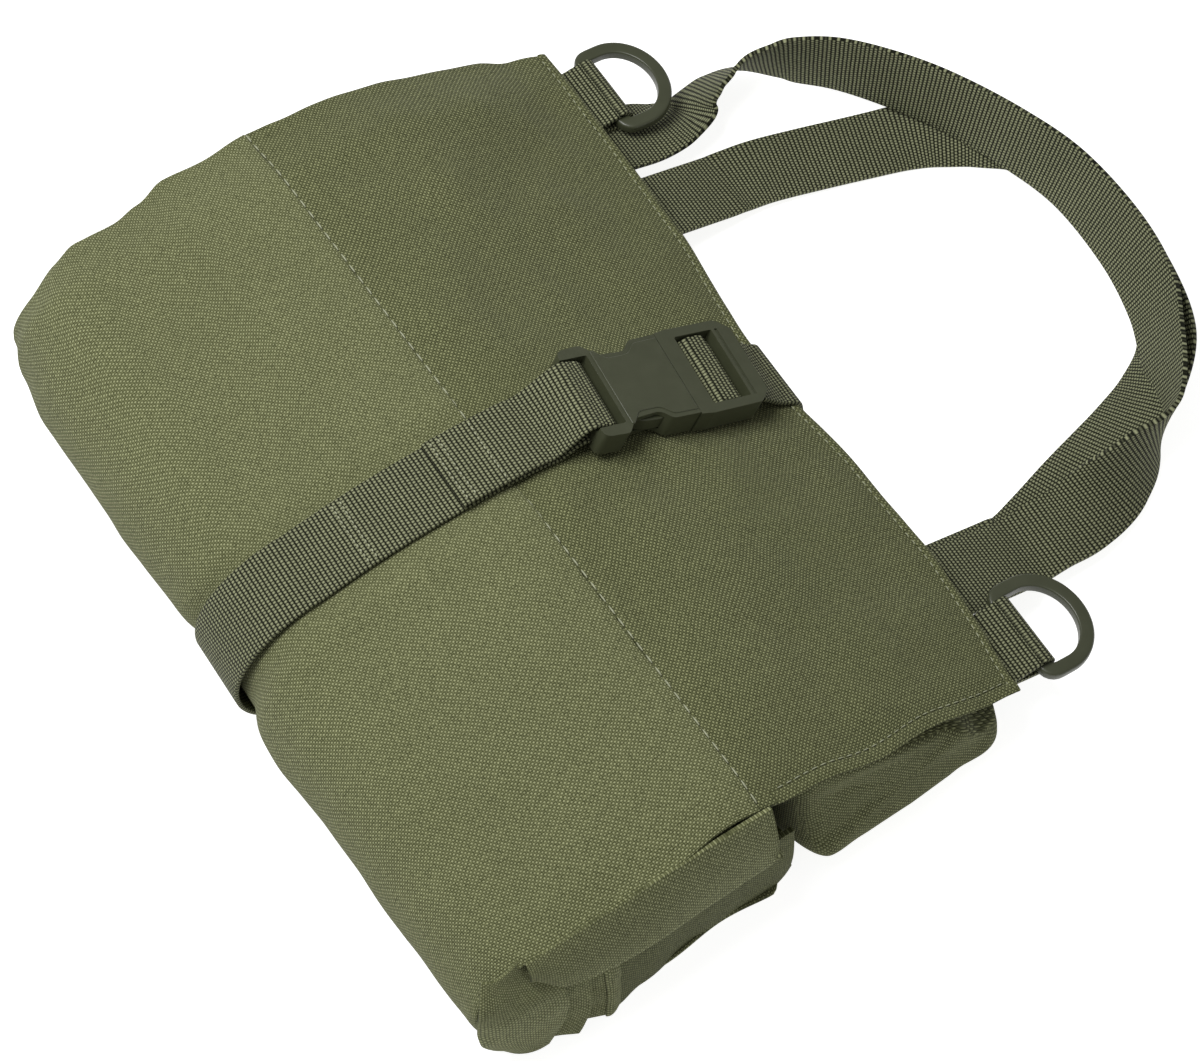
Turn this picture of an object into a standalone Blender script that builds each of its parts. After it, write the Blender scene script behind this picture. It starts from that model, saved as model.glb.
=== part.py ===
"""Soft folding stretcher, strapped up as a flat pack.

The pack lies on its base. Its fold runs along Y at the left (-X) side, its free edge with
two D-rings and two carrying loops is at the right (+X) side, and the closing strap runs
round it along X. Every x below is measured from the fold and is shifted once, when a
piece is placed, so that the whole object is centred on the origin and stands on z = 0.
"""
import math

import bmesh
import bpy
from mathutils import Matrix, Vector

# ---------------------------------------------------------------- driving dimensions (metres)
PACK_LENGTH = 0.280          # along the fold
PACK_WIDTH = 0.200           # from the fold to the free edge
FOLD_HEIGHT = 0.058          # over the round fold
SEAM_HEIGHT = 0.063          # at the highest line
EDGE_HEIGHT = 0.027          # at the free edge
FOLD_DEPTH = 0.030           # how far the round fold reaches in from the left
SEAM_X = 0.098               # seam between the outer sheet and the cover flap
CREST_X = 0.100              # where the cover starts to fall
CREST_ROUND = 0.050          # length of the rounded start of the fall

SHEET = 0.003                # outer sheet, two plies and their hems
PLY = 0.0055                 # one inner turn of the folded litter
PLY_GAP = 0.0005
HEM = 0.0012
END_SET_BACK = 0.0035        # inner turns stop short of the pack's ends
END_FLAP = 0.0018

WEBBING = 0.025              # width of all webbing
WEB = 0.0015                 # thickness of all webbing
GAP = 0.00035                # clearance between pieces that touch
STACK_START = 0.016          # how far the sewn-in webbing reaches under the cover's edge

TAB_Y_FAR = 0.118            # middle of each D-ring tab, from the pack's middle
TAB_Y_NEAR = -0.119
RING_WIRE = 0.0046
RING_SIDE_PLAY = 0.0008
RING_BAR_X = 0.0105          # ring's bar, beyond the free edge
RING_DEPTH = 0.0215          # from the bar's middle to the bow's middle
RING_TILT = math.radians(8)

HANDLE_AXIS_X = 0.033        # where the loops bend, beyond the free edge
HANDLE_FALL = 0.33           # slope of the loops' sewn ends outside the pack
# The loops start HANDLE_JOIN past the bend, and the lower ends stop as far before it. The
# upper ends stop UPPER_JOIN before it, which lets the upper loop swing up.
HANDLE_JOIN = 0.0012
UPPER_JOIN = 0.0038

STRAP_BOW = 0.010            # how far the strap wanders sideways on its way to the edge
STRAP_HIGH_Y = 0.003
STRAP_TOP_END = 0.094        # closing strap's sewn end on the cover
LOOP_BACK = 0.014            # the buckle loop's upper ply lies this far over the strap

BUCKLE_X = 0.126             # socket's webbing bar
BUCKLE_SLOPE = 0.44
BUCKLE_YAW = math.radians(-5)
BUCKLE_THICK = 0.0100
SOCKET_LENGTH = 0.0340
SOCKET_EAR = 0.0170          # half width at the webbing bar
SOCKET_WAIST = 0.0118
SOCKET_MOUTH = 0.0155
BAR = 0.0050
SLOT = 0.0048
SLOT_HALF = 0.0131
WALL = 0.0022
PLUG_LENGTH = 0.0275
PLUG_HALF = 0.0165
PLUG_WEB_SLOT = 0.0054
CROSSBAR = 0.0036
ARM_WIDTH = 0.0034
ARM_LENGTH = 0.0215
RUN = 0.0003                 # running clearance inside the buckle
BAR_RELIEF = 0.0026          # how far the socket's webbing bar lies inside its faces
CROSSBAR_RELIEF = 0.0032     # how far the plug's crossbar lies below its upper face
END_RELIEF = 0.0046          # how high the strap's way under the plug's end bar is
PROUD = 0.002                # cutters stand this far outside what they cut

# ---------------------------------------------------------------- values that follow
HALF = PACK_LENGTH / 2
EDGE_X = PACK_WIDTH
FALL = SEAM_HEIGHT - EDGE_HEIGHT
SLOPE = FALL / (EDGE_X - CREST_X - CREST_ROUND / 2)
LEAN = math.cos(math.atan(SLOPE))
HALF_WEB = WEBBING / 2
AXIS_X = EDGE_X + HANDLE_AXIS_X
LOOP_REACH = 0.1035          # loops' outermost edge, beyond their bend
X_LOW = -(WEB + GAP)
X_HIGH = AXIS_X + LOOP_REACH
CENTRE_X = (X_LOW + X_HIGH) / 2

# depth of each layer's middle below the cover's top, straight down, at the free edge
DEPTH_COVER = SHEET / 2 / LEAN
DEPTH_TAB_UPPER = DEPTH_COVER + (SHEET / 2 + GAP + WEB / 2) / LEAN
DEPTH_TAB_LOWER = DEPTH_TAB_UPPER + (WEB + GAP) / LEAN
DEPTH_UPPER_HANDLE = DEPTH_TAB_LOWER + (WEB + GAP) / LEAN
DEPTH_LOWER_HANDLE = DEPTH_UPPER_HANDLE + (WEB + GAP) / LEAN
DEPTH_HEM = DEPTH_LOWER_HANDLE + (WEB / 2 + GAP + HEM / 2) / LEAN

FABRIC = (0.112, 0.118, 0.062, 1.0)
INNER = (0.075, 0.080, 0.045, 1.0)
STRAPPING = (0.098, 0.105, 0.060, 1.0)
PLASTIC = (0.070, 0.078, 0.043, 1.0)


def clear_scene():
    """Empties the scene, so that the script can be run again."""
    for old in list(bpy.data.objects):
        bpy.data.objects.remove(old)


def collection(name):
    """A new collection in the scene."""
    made = bpy.data.collections.new(name)
    bpy.context.scene.collection.children.link(made)
    return made


def material(name, colour, roughness):
    """A Principled material."""
    made = bpy.data.materials.new(name)
    made.use_nodes = True
    shader = made.node_tree.nodes["Principled BSDF"]
    shader.inputs["Base Color"].default_value = colour
    shader.inputs["Roughness"].default_value = roughness
    shader.inputs["Metallic"].default_value = 0.0
    return made


def place(name, mesh, colour, roughness=0.85, home=None):
    """Puts a mesh in the part's collection as a named object with its own material."""
    made = bpy.data.objects.new(name, mesh)
    made.data.materials.clear()
    made.data.materials.append(material(name + "_finish", colour, roughness))
    (home or PARTS).objects.link(made)
    return made


def at(x, y, z):
    """A point given from the fold, in the part's frame."""
    return Vector((x - CENTRE_X, y, z))


def top_height(x):
    """Height of the pack's outer surface at x."""
    if x < FOLD_DEPTH:
        reach = (FOLD_DEPTH - x) / FOLD_DEPTH
        return FOLD_HEIGHT / 2 * (1 + math.sqrt(max(0.0, 1 - reach * reach)))
    if x < CREST_X:
        share = (x - FOLD_DEPTH) / (CREST_X - FOLD_DEPTH)
        return FOLD_HEIGHT + (SEAM_HEIGHT - FOLD_HEIGHT) * math.sin(share * math.pi / 2)
    past = x - CREST_X
    if past < CREST_ROUND:
        return SEAM_HEIGHT - SLOPE * past * past / (2 * CREST_ROUND)
    return SEAM_HEIGHT - SLOPE * (past - CREST_ROUND / 2)


def spaced(low, high, count):
    """count evenly spaced values, both ends included."""
    return [low + (high - low) * i / (count - 1) for i in range(count)]


def smooth_line(points, per_span=5):
    """A smooth line through the given points, by Catmull-Rom."""
    points = [Vector(p) for p in points]
    padded = [2 * points[0] - points[1]] + points + [2 * points[-1] - points[-2]]
    line = []
    for i in range(1, len(padded) - 2):
        a, b, c, d = padded[i - 1:i + 3]
        for k in range(per_span):
            t = k / per_span
            line.append(
                0.5 * (2 * b + (c - a) * t + (2 * a - 5 * b + 4 * c - d) * t * t
                       + (3 * b - a - 3 * c + d) * t * t * t)
            )
    line.append(points[-1])
    return line


def ribbon_mesh(name, stations):
    """An open strip through stations, each a middle point and a half-width vector."""
    shape = bmesh.new()
    middle, half = stations[0]
    first = shape.verts.new(middle - half)
    second = shape.verts.new(middle + half)
    edge = shape.edges.new((first, second))
    for middle, half in stations[1:]:
        grown = bmesh.ops.extrude_edge_only(shape, edges=[edge])["geom"]
        edge = next(g for g in grown if isinstance(g, bmesh.types.BMEdge))
        ends = edge.verts
        if (ends[0].co - first.co).length > (ends[0].co - second.co).length:
            ends = (ends[1], ends[0])
        first, second = ends
        first.co = middle - half
        second.co = middle + half
    bmesh.ops.recalc_face_normals(shape, faces=shape.faces)
    mesh = bpy.data.meshes.new(name)
    shape.to_mesh(mesh)
    shape.free()
    return mesh


def ribbon(name, stations, thickness, colour, home=None):
    """A strip of cloth or webbing with an even thickness."""
    made = place(name, ribbon_mesh(name, stations), colour, home=home)
    wall = made.modifiers.new("thickness", "SOLIDIFY")
    wall.thickness = thickness
    wall.offset = 0.0
    wall.use_even_offset = True
    return made


def along_y(path, low, high):
    """Stations of a strip whose width runs along Y, for (x, z) points given from the fold."""
    middle = (low + high) / 2
    half = Vector((0, (high - low) / 2, 0))
    return [(at(x, middle, z), half) for x, z in path]


def prism(name, outline, low, high, colour):
    """A solid with an (x, z) outline that runs along Y from low to high."""
    curve = bpy.data.curves.new(name, "CURVE")
    curve.dimensions = "2D"
    curve.fill_mode = "BOTH"
    curve.extrude = (high - low) / 2
    line = curve.splines.new("POLY")
    line.points.add(len(outline) - 1)
    for point, (x, z) in zip(line.points, outline):
        point.co = (x - CENTRE_X, z, 0, 1)
    line.use_cyclic_u = True
    drawn = bpy.data.objects.new(name + "_outline", curve)
    PARTS.objects.link(drawn)
    drawn.rotation_euler = (math.pi / 2, 0, 0)
    drawn.location = (0, (low + high) / 2, 0)
    return as_mesh(drawn, name, colour)


def as_mesh(drawn, name, colour, roughness=0.85):
    """Turns a curve object into a closed mesh object in the same place."""
    bpy.context.view_layer.update()
    turned = drawn.evaluated_get(bpy.context.evaluated_depsgraph_get())
    mesh = bpy.data.meshes.new_from_object(turned)
    mesh.name = name
    shape = bmesh.new()
    shape.from_mesh(mesh)
    bmesh.ops.remove_doubles(shape, verts=shape.verts, dist=0.00001)
    bmesh.ops.recalc_face_normals(shape, faces=shape.faces)
    shape.to_mesh(mesh)
    shape.free()
    made = place(name, mesh, colour, roughness)
    made.parent = drawn.parent
    made.matrix_world = drawn.matrix_world
    bpy.data.objects.remove(drawn)
    return made


def cut(target, tool):
    """Takes the tool's shape out of the target."""
    tool.hide_render = True
    tool.display_type = "WIRE"
    taken = target.modifiers.new("cut_" + tool.name, "BOOLEAN")
    taken.operation = "DIFFERENCE"
    taken.solver = "EXACT"
    taken.object = tool


def join(target, tool):
    """Adds the tool's shape to the target."""
    tool.hide_render = True
    tool.display_type = "WIRE"
    added = target.modifiers.new("add_" + tool.name, "BOOLEAN")
    added.operation = "UNION"
    added.solver = "EXACT"
    added.object = tool


# ---------------------------------------------------------------- folded cloth
def turn_path(inset, stop_low, stop_high, bulge=0.0):
    """(x, z) line of one turn of cloth: base, round fold, then the top, at a depth of inset."""
    reach = FOLD_DEPTH - inset
    tall = FOLD_HEIGHT / 2 - inset
    path = [(x, inset) for x in spaced(stop_low, FOLD_DEPTH, 5)]
    for i in range(1, 16):
        angle = -math.pi / 2 - math.pi * i / 16
        path.append((FOLD_DEPTH + reach * math.cos(angle), FOLD_HEIGHT / 2 + tall * math.sin(angle)))
    path += [(x, top_height(x) - inset - bulge) for x in spaced(FOLD_DEPTH, stop_high, 10)]
    return path


def outer_sheet():
    """The litter's outermost turn: base, round fold and top up to the seam."""
    path = turn_path(SHEET / 2, EDGE_X - 0.008, SEAM_X - GAP)
    return ribbon("outer_sheet", along_y(path, -HALF, HALF), SHEET, FABRIC)


def cover_flap():
    """The end panel sewn on at the seam, which covers the right side down to the free edge."""
    path = [(x, top_height(x) - DEPTH_COVER) for x in spaced(SEAM_X + GAP, EDGE_X, 16)]
    return ribbon("cover_flap", along_y(path, -HALF, HALF), SHEET, FABRIC)


def edge_hem():
    """The facing under the free edge, which closes the stack of sewn-in webbing."""
    path = [(x, top_height(x) - DEPTH_HEM) for x in spaced(EDGE_X - STACK_START, EDGE_X, 5)]
    return ribbon("edge_hem", along_y(path, -HALF, HALF), HEM, FABRIC)


def inner_turns():
    """Two further turns of the folded litter inside the outer one."""
    low, high = -HALF + END_SET_BACK, HALF - END_SET_BACK
    inset = SHEET + PLY_GAP + PLY / 2
    for number in (1, 2):
        path = turn_path(inset, SEAM_X + 0.006 - 0.004 * number, SEAM_X - 0.004 * number)
        ribbon(f"inner_turn_{number}", along_y(path, low, high), PLY, INNER)
        inset += PLY + PLY_GAP
    return inset - PLY / 2


def bundle_outline(centre, semi, low, right, roof):
    """Outline of a folded bundle whose left end follows an ellipse.

    centre is the ellipse's (x, z), semi its half axes, low the bundle's floor, right its
    right end and roof a function of x that gives its upper side.
    """
    def left_of(z):
        share = min(1.0, abs(z - centre[1]) / semi[1])
        return centre[0] - semi[0] * math.sqrt(1 - share * share)
    high = min(centre[1] + semi[1], roof(centre[0]))
    outline = [(right, low)]
    outline += [(left_of(z), z) for z in spaced(low, high, 9)]
    outline += [(x, roof(x)) for x in spaced(centre[0] + 0.004, right, 5)]
    return outline


def inner_core(inset):
    """The litter's middle: two bundles with the cross webbing between them."""
    low, high = -HALF + END_SET_BACK, HALF - END_SET_BACK
    centre = (FOLD_DEPTH, FOLD_HEIGHT / 2)
    semi = (FOLD_DEPTH - inset, FOLD_HEIGHT / 2 - inset)
    right = SEAM_X - 0.010
    middle = 0.026
    outline = bundle_outline(centre, semi, inset, right, lambda x: middle)
    prism("core_bundle_lower", outline, low, high, INNER)
    floor = middle + 2 * WEB + 2 * GAP
    outline = bundle_outline(centre, semi, floor, right, lambda x: top_height(x) - inset)
    prism("core_bundle_upper", outline, low, high, INNER)
    level = middle + GAP + WEB
    for name, y in (("cross_webbing_far", 0.085), ("cross_webbing_near", -0.085)):
        path = [(x, level) for x in spaced(FOLD_DEPTH, right, 4)]
        ribbon(name, along_y(path, y - WEBBING, y + WEBBING), 2 * WEB, STRAPPING)


def right_roll():
    """The litter's rolled part under the cover flap: an outer turn round a core."""
    low, high = -HALF + END_SET_BACK, HALF - END_SET_BACK
    left = SEAM_X + 0.016
    floor = SHEET + PLY_GAP + PLY / 2
    depth = SHEET / LEAN + (PLY_GAP + PLY / 2) / LEAN
    start = left + 0.022
    path = [(x, floor) for x in spaced(EDGE_X - 0.012, start, 5)]
    roof = top_height(start) - depth
    tall = (roof - floor) / 2
    for i in range(1, 16):
        angle = -math.pi / 2 - math.pi * i / 16
        path.append((start + (start - left) * math.cos(angle), floor + tall + tall * math.sin(angle)))
    stop = EDGE_X - STACK_START - 0.004
    path += [(x, top_height(x) - depth) for x in spaced(start, stop, 8)]
    ribbon("roll_turn", along_y(path, low, high), PLY, INNER)
    inward = PLY / 2 + PLY_GAP
    inner_depth = depth + inward / LEAN
    semi = (start - left - inward, tall - inward)
    outline = bundle_outline((start, floor + tall), semi, floor + inward, stop,
                             lambda x: top_height(x) - inner_depth)
    prism("roll_core", outline, low, high, INNER)


def inside_floor(x):
    """Lowest height inside the outer sheet at x."""
    share = max(0.0, (FOLD_DEPTH - x) / (FOLD_DEPTH - SHEET))
    return FOLD_HEIGHT / 2 - (FOLD_HEIGHT / 2 - SHEET) * math.sqrt(1 - share * share)


def end_flaps():
    """The cloth that closes the pack's two ends: tongues, and pleats beside the fold."""
    near = -HALF + END_SET_BACK / 2 - 0.0002
    for name, low_x, high_x, floor, drop, y in (
        ("end_tongue_upper_near", 0.050, 0.106, 0.031, 0.0, near),
        ("end_tongue_lower_near", 0.046, 0.110, 0.0036, 0.033, near),
        ("end_tongue_far", 0.046, 0.110, 0.0036, 0.0, -near),
    ):
        outline = []
        roof = SHEET / LEAN + GAP + 0.0006
        for x in spaced(low_x, high_x, 8):
            outline.append((x, top_height(x) - roof - drop))
        outline.append((high_x, floor + 0.006))
        outline.append((high_x - 0.002, floor + 0.002))
        outline.append((high_x - 0.006, floor))
        outline.append((low_x, floor))
        prism(name, outline, y - END_FLAP / 2, y + END_FLAP / 2, FABRIC)
    for side, y in (("near", near), ("far", -near)):
        for number, left in enumerate((0.0125, 0.0225, 0.0335), 1):
            outline = [
                (left, inside_floor(left) + 0.002),
                (left + 0.007, inside_floor(left + 0.007) + 0.001),
                (left + 0.009, inside_floor(left + 0.007) + 0.001),
                (left + 0.009, 0.038 + 0.004 * number),
                (left + 0.002, 0.034 + 0.004 * number),
            ]
            prism(f"end_pleat_{side}_{number}", outline, y - END_FLAP / 2, y + END_FLAP / 2, FABRIC)


# ---------------------------------------------------------------- closing strap
def strap_y(x):
    """Sideways place of the strap's middle at x."""
    turn = 0.060
    if x > turn:
        return STRAP_HIGH_Y - STRAP_BOW * ((x - turn) / (EDGE_X - turn)) ** 2
    return STRAP_HIGH_Y - 0.4 * STRAP_BOW * ((turn - x) / turn) ** 2


def strap_stations(grow=0.0):
    """Stations of the closing strap: base, round fold, top."""
    half = Vector((0, HALF_WEB + grow, 0))
    level = WEB / 2
    reach = FOLD_DEPTH + GAP + WEB / 2
    tall = (FOLD_HEIGHT + GAP + WEB / 2 - level) / 2
    centre = level + tall
    base = []
    far_x = EDGE_X - 0.002
    for x in spaced(far_x, FOLD_DEPTH, 6):
        share = (x - FOLD_DEPTH) / (far_x - FOLD_DEPTH)
        y = strap_y(0) + (strap_y(EDGE_X) - strap_y(0)) * share
        base.append((at(x, y, level), half))
    fold = []
    for i in range(1, 20):
        angle = -math.pi / 2 - math.pi * i / 20
        x = FOLD_DEPTH + reach * math.cos(angle)
        share = i / 20
        y = strap_y(0) + (strap_y(FOLD_DEPTH) - strap_y(0)) * share
        fold.append((at(x, y, centre + tall * math.sin(angle)), half))
    top = []
    for x in spaced(FOLD_DEPTH, STRAP_TOP_END, 10):
        top.append((at(x, strap_y(x), top_height(x) + GAP + WEB / 2), half))
    return base + fold + top


def closing_strap(sheet):
    """The long webbing round the pack, let into the base so that the pack stands flat."""
    ribbon("closing_strap", strap_stations(), WEB, STRAPPING)
    groove = ribbon("strap_groove", strap_stations(0.0006), WEB + 2 * GAP + 0.0002, STRAPPING, CUTTERS)
    cut(sheet, groove)


class Buckle:
    """The buckle's own directions: u along the strap, v across it and w off the pack."""

    def __init__(self):
        lean = math.atan(BUCKLE_SLOPE)
        touch = CREST_X + CREST_ROUND * BUCKLE_SLOPE / SLOPE
        clear = 0.0012
        level = top_height(touch) + clear + BUCKLE_SLOPE * (touch - BUCKLE_X)
        turn = Matrix.Rotation(BUCKLE_YAW, 4, "Z") @ Matrix.Rotation(lean, 4, "Y")
        self.matrix = Matrix.Translation(at(BUCKLE_X, strap_y(BUCKLE_X), level)) @ turn

    def point(self, u, v, w):
        return self.matrix @ Vector((u, v, w))

    def holder(self, name, u, v, w):
        """An empty at a buckle point, turned with the buckle."""
        made = bpy.data.objects.new(name, None)
        PARTS.objects.link(made)
        made.matrix_world = self.matrix @ Matrix.Translation((u, v, w))
        return made


def plate(name, outline, low, high, holder, colour=PLASTIC, bevel=0.0008, home=None):
    """A flat plastic plate with a (u, v) outline in the buckle's directions."""
    curve = bpy.data.curves.new(name, "CURVE")
    curve.dimensions = "2D"
    curve.fill_mode = "BOTH"
    curve.extrude = (high - low) / 2
    line = curve.splines.new("POLY")
    line.points.add(len(outline) - 1)
    for point, (u, v) in zip(line.points, outline):
        point.co = (u, v, 0, 1)
    line.use_cyclic_u = True
    drawn = bpy.data.objects.new(name + "_outline", curve)
    PARTS.objects.link(drawn)
    drawn.location = (0, 0, (low + high) / 2)
    made = as_mesh(drawn, name, colour, 0.45)
    made.data.transform(made.matrix_world)
    made.matrix_world = Matrix.Identity(4)
    made.parent = holder
    if bevel:
        soft = made.modifiers.new("edges", "BEVEL")
        soft.width = bevel
        soft.segments = 2
        soft.limit_method = "ANGLE"
    if home:
        PARTS.objects.unlink(made)
        home.objects.link(made)
    return made


def mirrored(half_outline):
    """A whole outline from its +v half, whose points run along u."""
    return half_outline + [(u, -v) for u, v in reversed(half_outline)]


def box_outline(low_u, high_u, low_v, high_v):
    """A rectangle as an outline."""
    return [(low_u, low_v), (high_u, low_v), (high_u, high_v), (low_u, high_v)]


def buckle_socket(buckle):
    """The half sewn to the pack: webbing bar, slot, waist with open sides, and mouth."""
    holder = buckle.holder("socket_place", 0, 0, 0)
    length = SOCKET_LENGTH
    start = -BAR / 2
    half = [
        (start, SOCKET_EAR - 0.003),
        (start + 0.002, SOCKET_EAR),
        (start + 0.0095, SOCKET_EAR),
        (start + 0.0135, SOCKET_WAIST + 0.0012),
        (start + 0.0165, SOCKET_WAIST),
        (length - 0.0125, SOCKET_WAIST),
        (length - 0.0085, SOCKET_MOUTH),
        (length, SOCKET_MOUTH),
    ]
    body = plate("buckle_socket", mirrored(half), 0.0004, BUCKLE_THICK - 0.0004, holder)
    tools = CUTTERS
    slot = plate("socket_slot", box_outline(BAR / 2, BAR / 2 + SLOT, -SLOT_HALF, SLOT_HALF),
                 -PROUD, BUCKLE_THICK + PROUD, holder, bevel=0, home=tools)
    cut(body, slot)
    inner = SOCKET_MOUTH - WALL
    room = plate("socket_room", box_outline(0.0115, length + PROUD, -inner, inner),
                 WALL, BUCKLE_THICK - WALL, holder, bevel=0, home=tools)
    cut(body, room)
    across_bar = box_outline(start - PROUD, BAR / 2 + 0.001, -SLOT_HALF, SLOT_HALF)
    for side, floor, ceiling in (
        ("under", -PROUD, BAR_RELIEF),
        ("over", BUCKLE_THICK - BAR_RELIEF, BUCKLE_THICK + PROUD),
    ):
        relief = plate("bar_relief_" + side, across_bar, floor, ceiling, holder, bevel=0, home=tools)
        cut(body, relief)
    return holder


def buckle_plug(buckle):
    """The free half: ladder frame for the strap and a middle guide that enters the socket."""
    start = SOCKET_LENGTH + RUN
    holder = buckle.holder("plug_place", start, 0, 0)
    length = PLUG_LENGTH
    half = [
        (0, SOCKET_MOUTH),
        (0.004, PLUG_HALF),
        (length - 0.003, PLUG_HALF),
        (length, PLUG_HALF - 0.003),
    ]
    body = plate("buckle_plug", mirrored(half), 0.0006, BUCKLE_THICK - 0.0006, holder)
    first = 0.0062
    for number, low in enumerate((first, first + PLUG_WEB_SLOT + CROSSBAR), 1):
        slot = plate(f"plug_slot_{number}", box_outline(low, low + PLUG_WEB_SLOT, -SLOT_HALF, SLOT_HALF),
                     -PROUD, BUCKLE_THICK + PROUD, holder, bevel=0, home=CUTTERS)
        cut(body, slot)
    bar_low = first + PLUG_WEB_SLOT
    across_bar = box_outline(bar_low - 0.001, bar_low + CROSSBAR + 0.001, -SLOT_HALF, SLOT_HALF)
    over = plate("crossbar_relief", across_bar, BUCKLE_THICK - CROSSBAR_RELIEF, BUCKLE_THICK + PROUD,
                 holder, bevel=0, home=CUTTERS)
    cut(body, over)
    end_low = bar_low + CROSSBAR + PLUG_WEB_SLOT
    under = plate("end_bar_relief", box_outline(first - 0.001, length + 0.002, -SLOT_HALF, SLOT_HALF),
                  -PROUD, END_RELIEF, holder, bevel=0, home=CUTTERS)
    cut(body, under)
    guide = plate("plug_guide", box_outline(-SOCKET_LENGTH + 0.0145, 0.002, -0.0026, 0.0026),
                  WALL + RUN, BUCKLE_THICK - WALL - RUN, holder, bevel=0, home=CUTTERS)
    join(body, guide)
    return holder, first, bar_low, end_low


def latch_arms(buckle):
    """The two sprung arms beside the guide, each bending about its root in the plug."""
    root = SOCKET_LENGTH - 0.0009
    outer = SOCKET_MOUTH - WALL - RUN
    places = {}
    for name, side in (("latch_arm_far", 1), ("latch_arm_near", -1)):
        inner = outer - ARM_WIDTH
        holder = buckle.holder(name + "_place", root, side * (inner + ARM_WIDTH / 2), 0)
        middle = inner + ARM_WIDTH / 2
        outline = [
            (0, inner + 0.0009 - middle),
            (-ARM_LENGTH + 0.006, inner - middle),
            (-ARM_LENGTH + 0.001, inner + 0.0004 - middle),
            (-ARM_LENGTH, inner + 0.0016 - middle),
            (-ARM_LENGTH + 0.004, outer - middle),
            (-ARM_LENGTH + 0.0115, outer - middle),
            (-ARM_LENGTH + 0.0125, outer - 0.0010 - middle),
            (0, outer - 0.0010 - middle),
        ]
        outline = [(u, side * v) for u, v in outline]
        plate(name, outline, WALL + RUN, BUCKLE_THICK - WALL - RUN, holder, bevel=0.0004)
        places[name] = holder
    return places


def buckle_webbing(buckle, first, bar_low, end_low):
    """Webbing on the buckle: the sewn loop on the socket, and the strap's run through the plug."""
    half = (buckle.matrix.to_3x3() @ Vector((0, 1, 0))) * HALF_WEB
    lift = WEB + GAP
    lower = []
    for x in spaced(STRAP_TOP_END + 2 * GAP, BUCKLE_X - 0.006, 5):
        lower.append(at(x, strap_y(x), top_height(x) + GAP + WEB / 2))
    bar_middle = BUCKLE_THICK / 2
    radius = bar_middle - BAR_RELIEF + GAP + WEB / 2
    loop = []
    for i in range(9):
        angle = -math.pi / 2 + math.pi * i / 8
        loop.append(buckle.point(0.0044 * math.cos(angle) + 0.0010, 0, bar_middle + radius * math.sin(angle)))
    upper = []
    for x in spaced(BUCKLE_X - 0.008, STRAP_TOP_END - LOOP_BACK, 6):
        extra = 0.0014 * max(0.0, (x - STRAP_TOP_END) / (BUCKLE_X - STRAP_TOP_END))
        upper.append(at(x, strap_y(x), top_height(x) + GAP + WEB / 2 + lift + extra))
    lower[-1:] = [buckle.point(-0.0050, 0, bar_middle - radius - 0.0002)]
    upper[:1] = [buckle.point(-0.0050, 0, bar_middle + radius - 0.0003)]
    flat = Vector((0, HALF_WEB, 0))
    stations = []
    for point in lower + loop + upper:
        x = point.x + CENTRE_X
        share = min(1.0, max(0.0, (x - (BUCKLE_X - 0.014)) / 0.010))
        stations.append((point, flat.lerp(half, share)))
    ribbon("buckle_loop", stations, WEB, STRAPPING)

    shift = SOCKET_LENGTH + RUN
    over = BUCKLE_THICK - CROSSBAR_RELIEF + GAP + WEB / 2
    low_main = END_RELIEF - GAP - WEB / 2 - 0.0002
    tail = low_main - WEB - GAP - 0.0002
    bar_high = bar_low + CROSSBAR
    points = [
        (PLUG_LENGTH + 0.0010, low_main),
        (end_low + 0.0005, low_main),
        (end_low - 0.0012, low_main + 0.0005),
        (bar_high + 0.0030, over - 0.0021),
        (bar_high + 0.0012, over - 0.0003),
        (bar_high - 0.0002, over),
        (bar_low + 0.0002, over),
        (bar_low - 0.0012, over - 0.0003),
        (bar_low - 0.0026, over - 0.0021),
        (bar_low - 0.0031, low_main + 0.0010),
        (bar_low - 0.0022, tail + 0.0010),
        (bar_low - 0.0002, tail),
        (PLUG_LENGTH - 0.0010, tail),
    ]
    points = [(shift + u, w) for u, w in points]
    line = smooth_line([buckle.point(u, 0, w) for u, w in points], 3)
    ribbon("adjuster_webbing", [(p, half) for p in line], WEB, STRAPPING)

    top = buckle.point(shift + PLUG_LENGTH + 0.0016, 0, low_main)
    hang = EDGE_X + GAP + WEB / 2 + 0.0012
    end_y = strap_y(EDGE_X)
    points = [
        top,
        at(EDGE_X - 0.004, top.y - 0.0012, top_height(EDGE_X - 0.004) + 0.0020),
        at(EDGE_X + 0.0017, end_y + 0.0004, EDGE_HEIGHT + 0.0014),
        at(hang, end_y, EDGE_HEIGHT - 0.0025),
        at(hang, end_y, EDGE_HEIGHT - 0.010),
        at(hang, end_y, 0.008),
        at(hang - 0.0002, end_y, 0.0030),
    ]
    stations = []
    for i, point in enumerate(smooth_line(points, 3)):
        stations.append((point, half.lerp(flat, min(1.0, i / 4))))
    ribbon("edge_webbing", stations, WEB, STRAPPING)


# ---------------------------------------------------------------- D-rings and their tabs
def ring_bar(side_y):
    """Middle of a ring's straight bar."""
    lower_tab = top_height(EDGE_X) - DEPTH_UPPER_HANDLE - HANDLE_FALL * RING_BAR_X
    level = lower_tab + WEB + GAP + WEB / 2 + GAP + RING_WIRE / 2
    return at(EDGE_X + RING_BAR_X, side_y, level)


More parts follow.
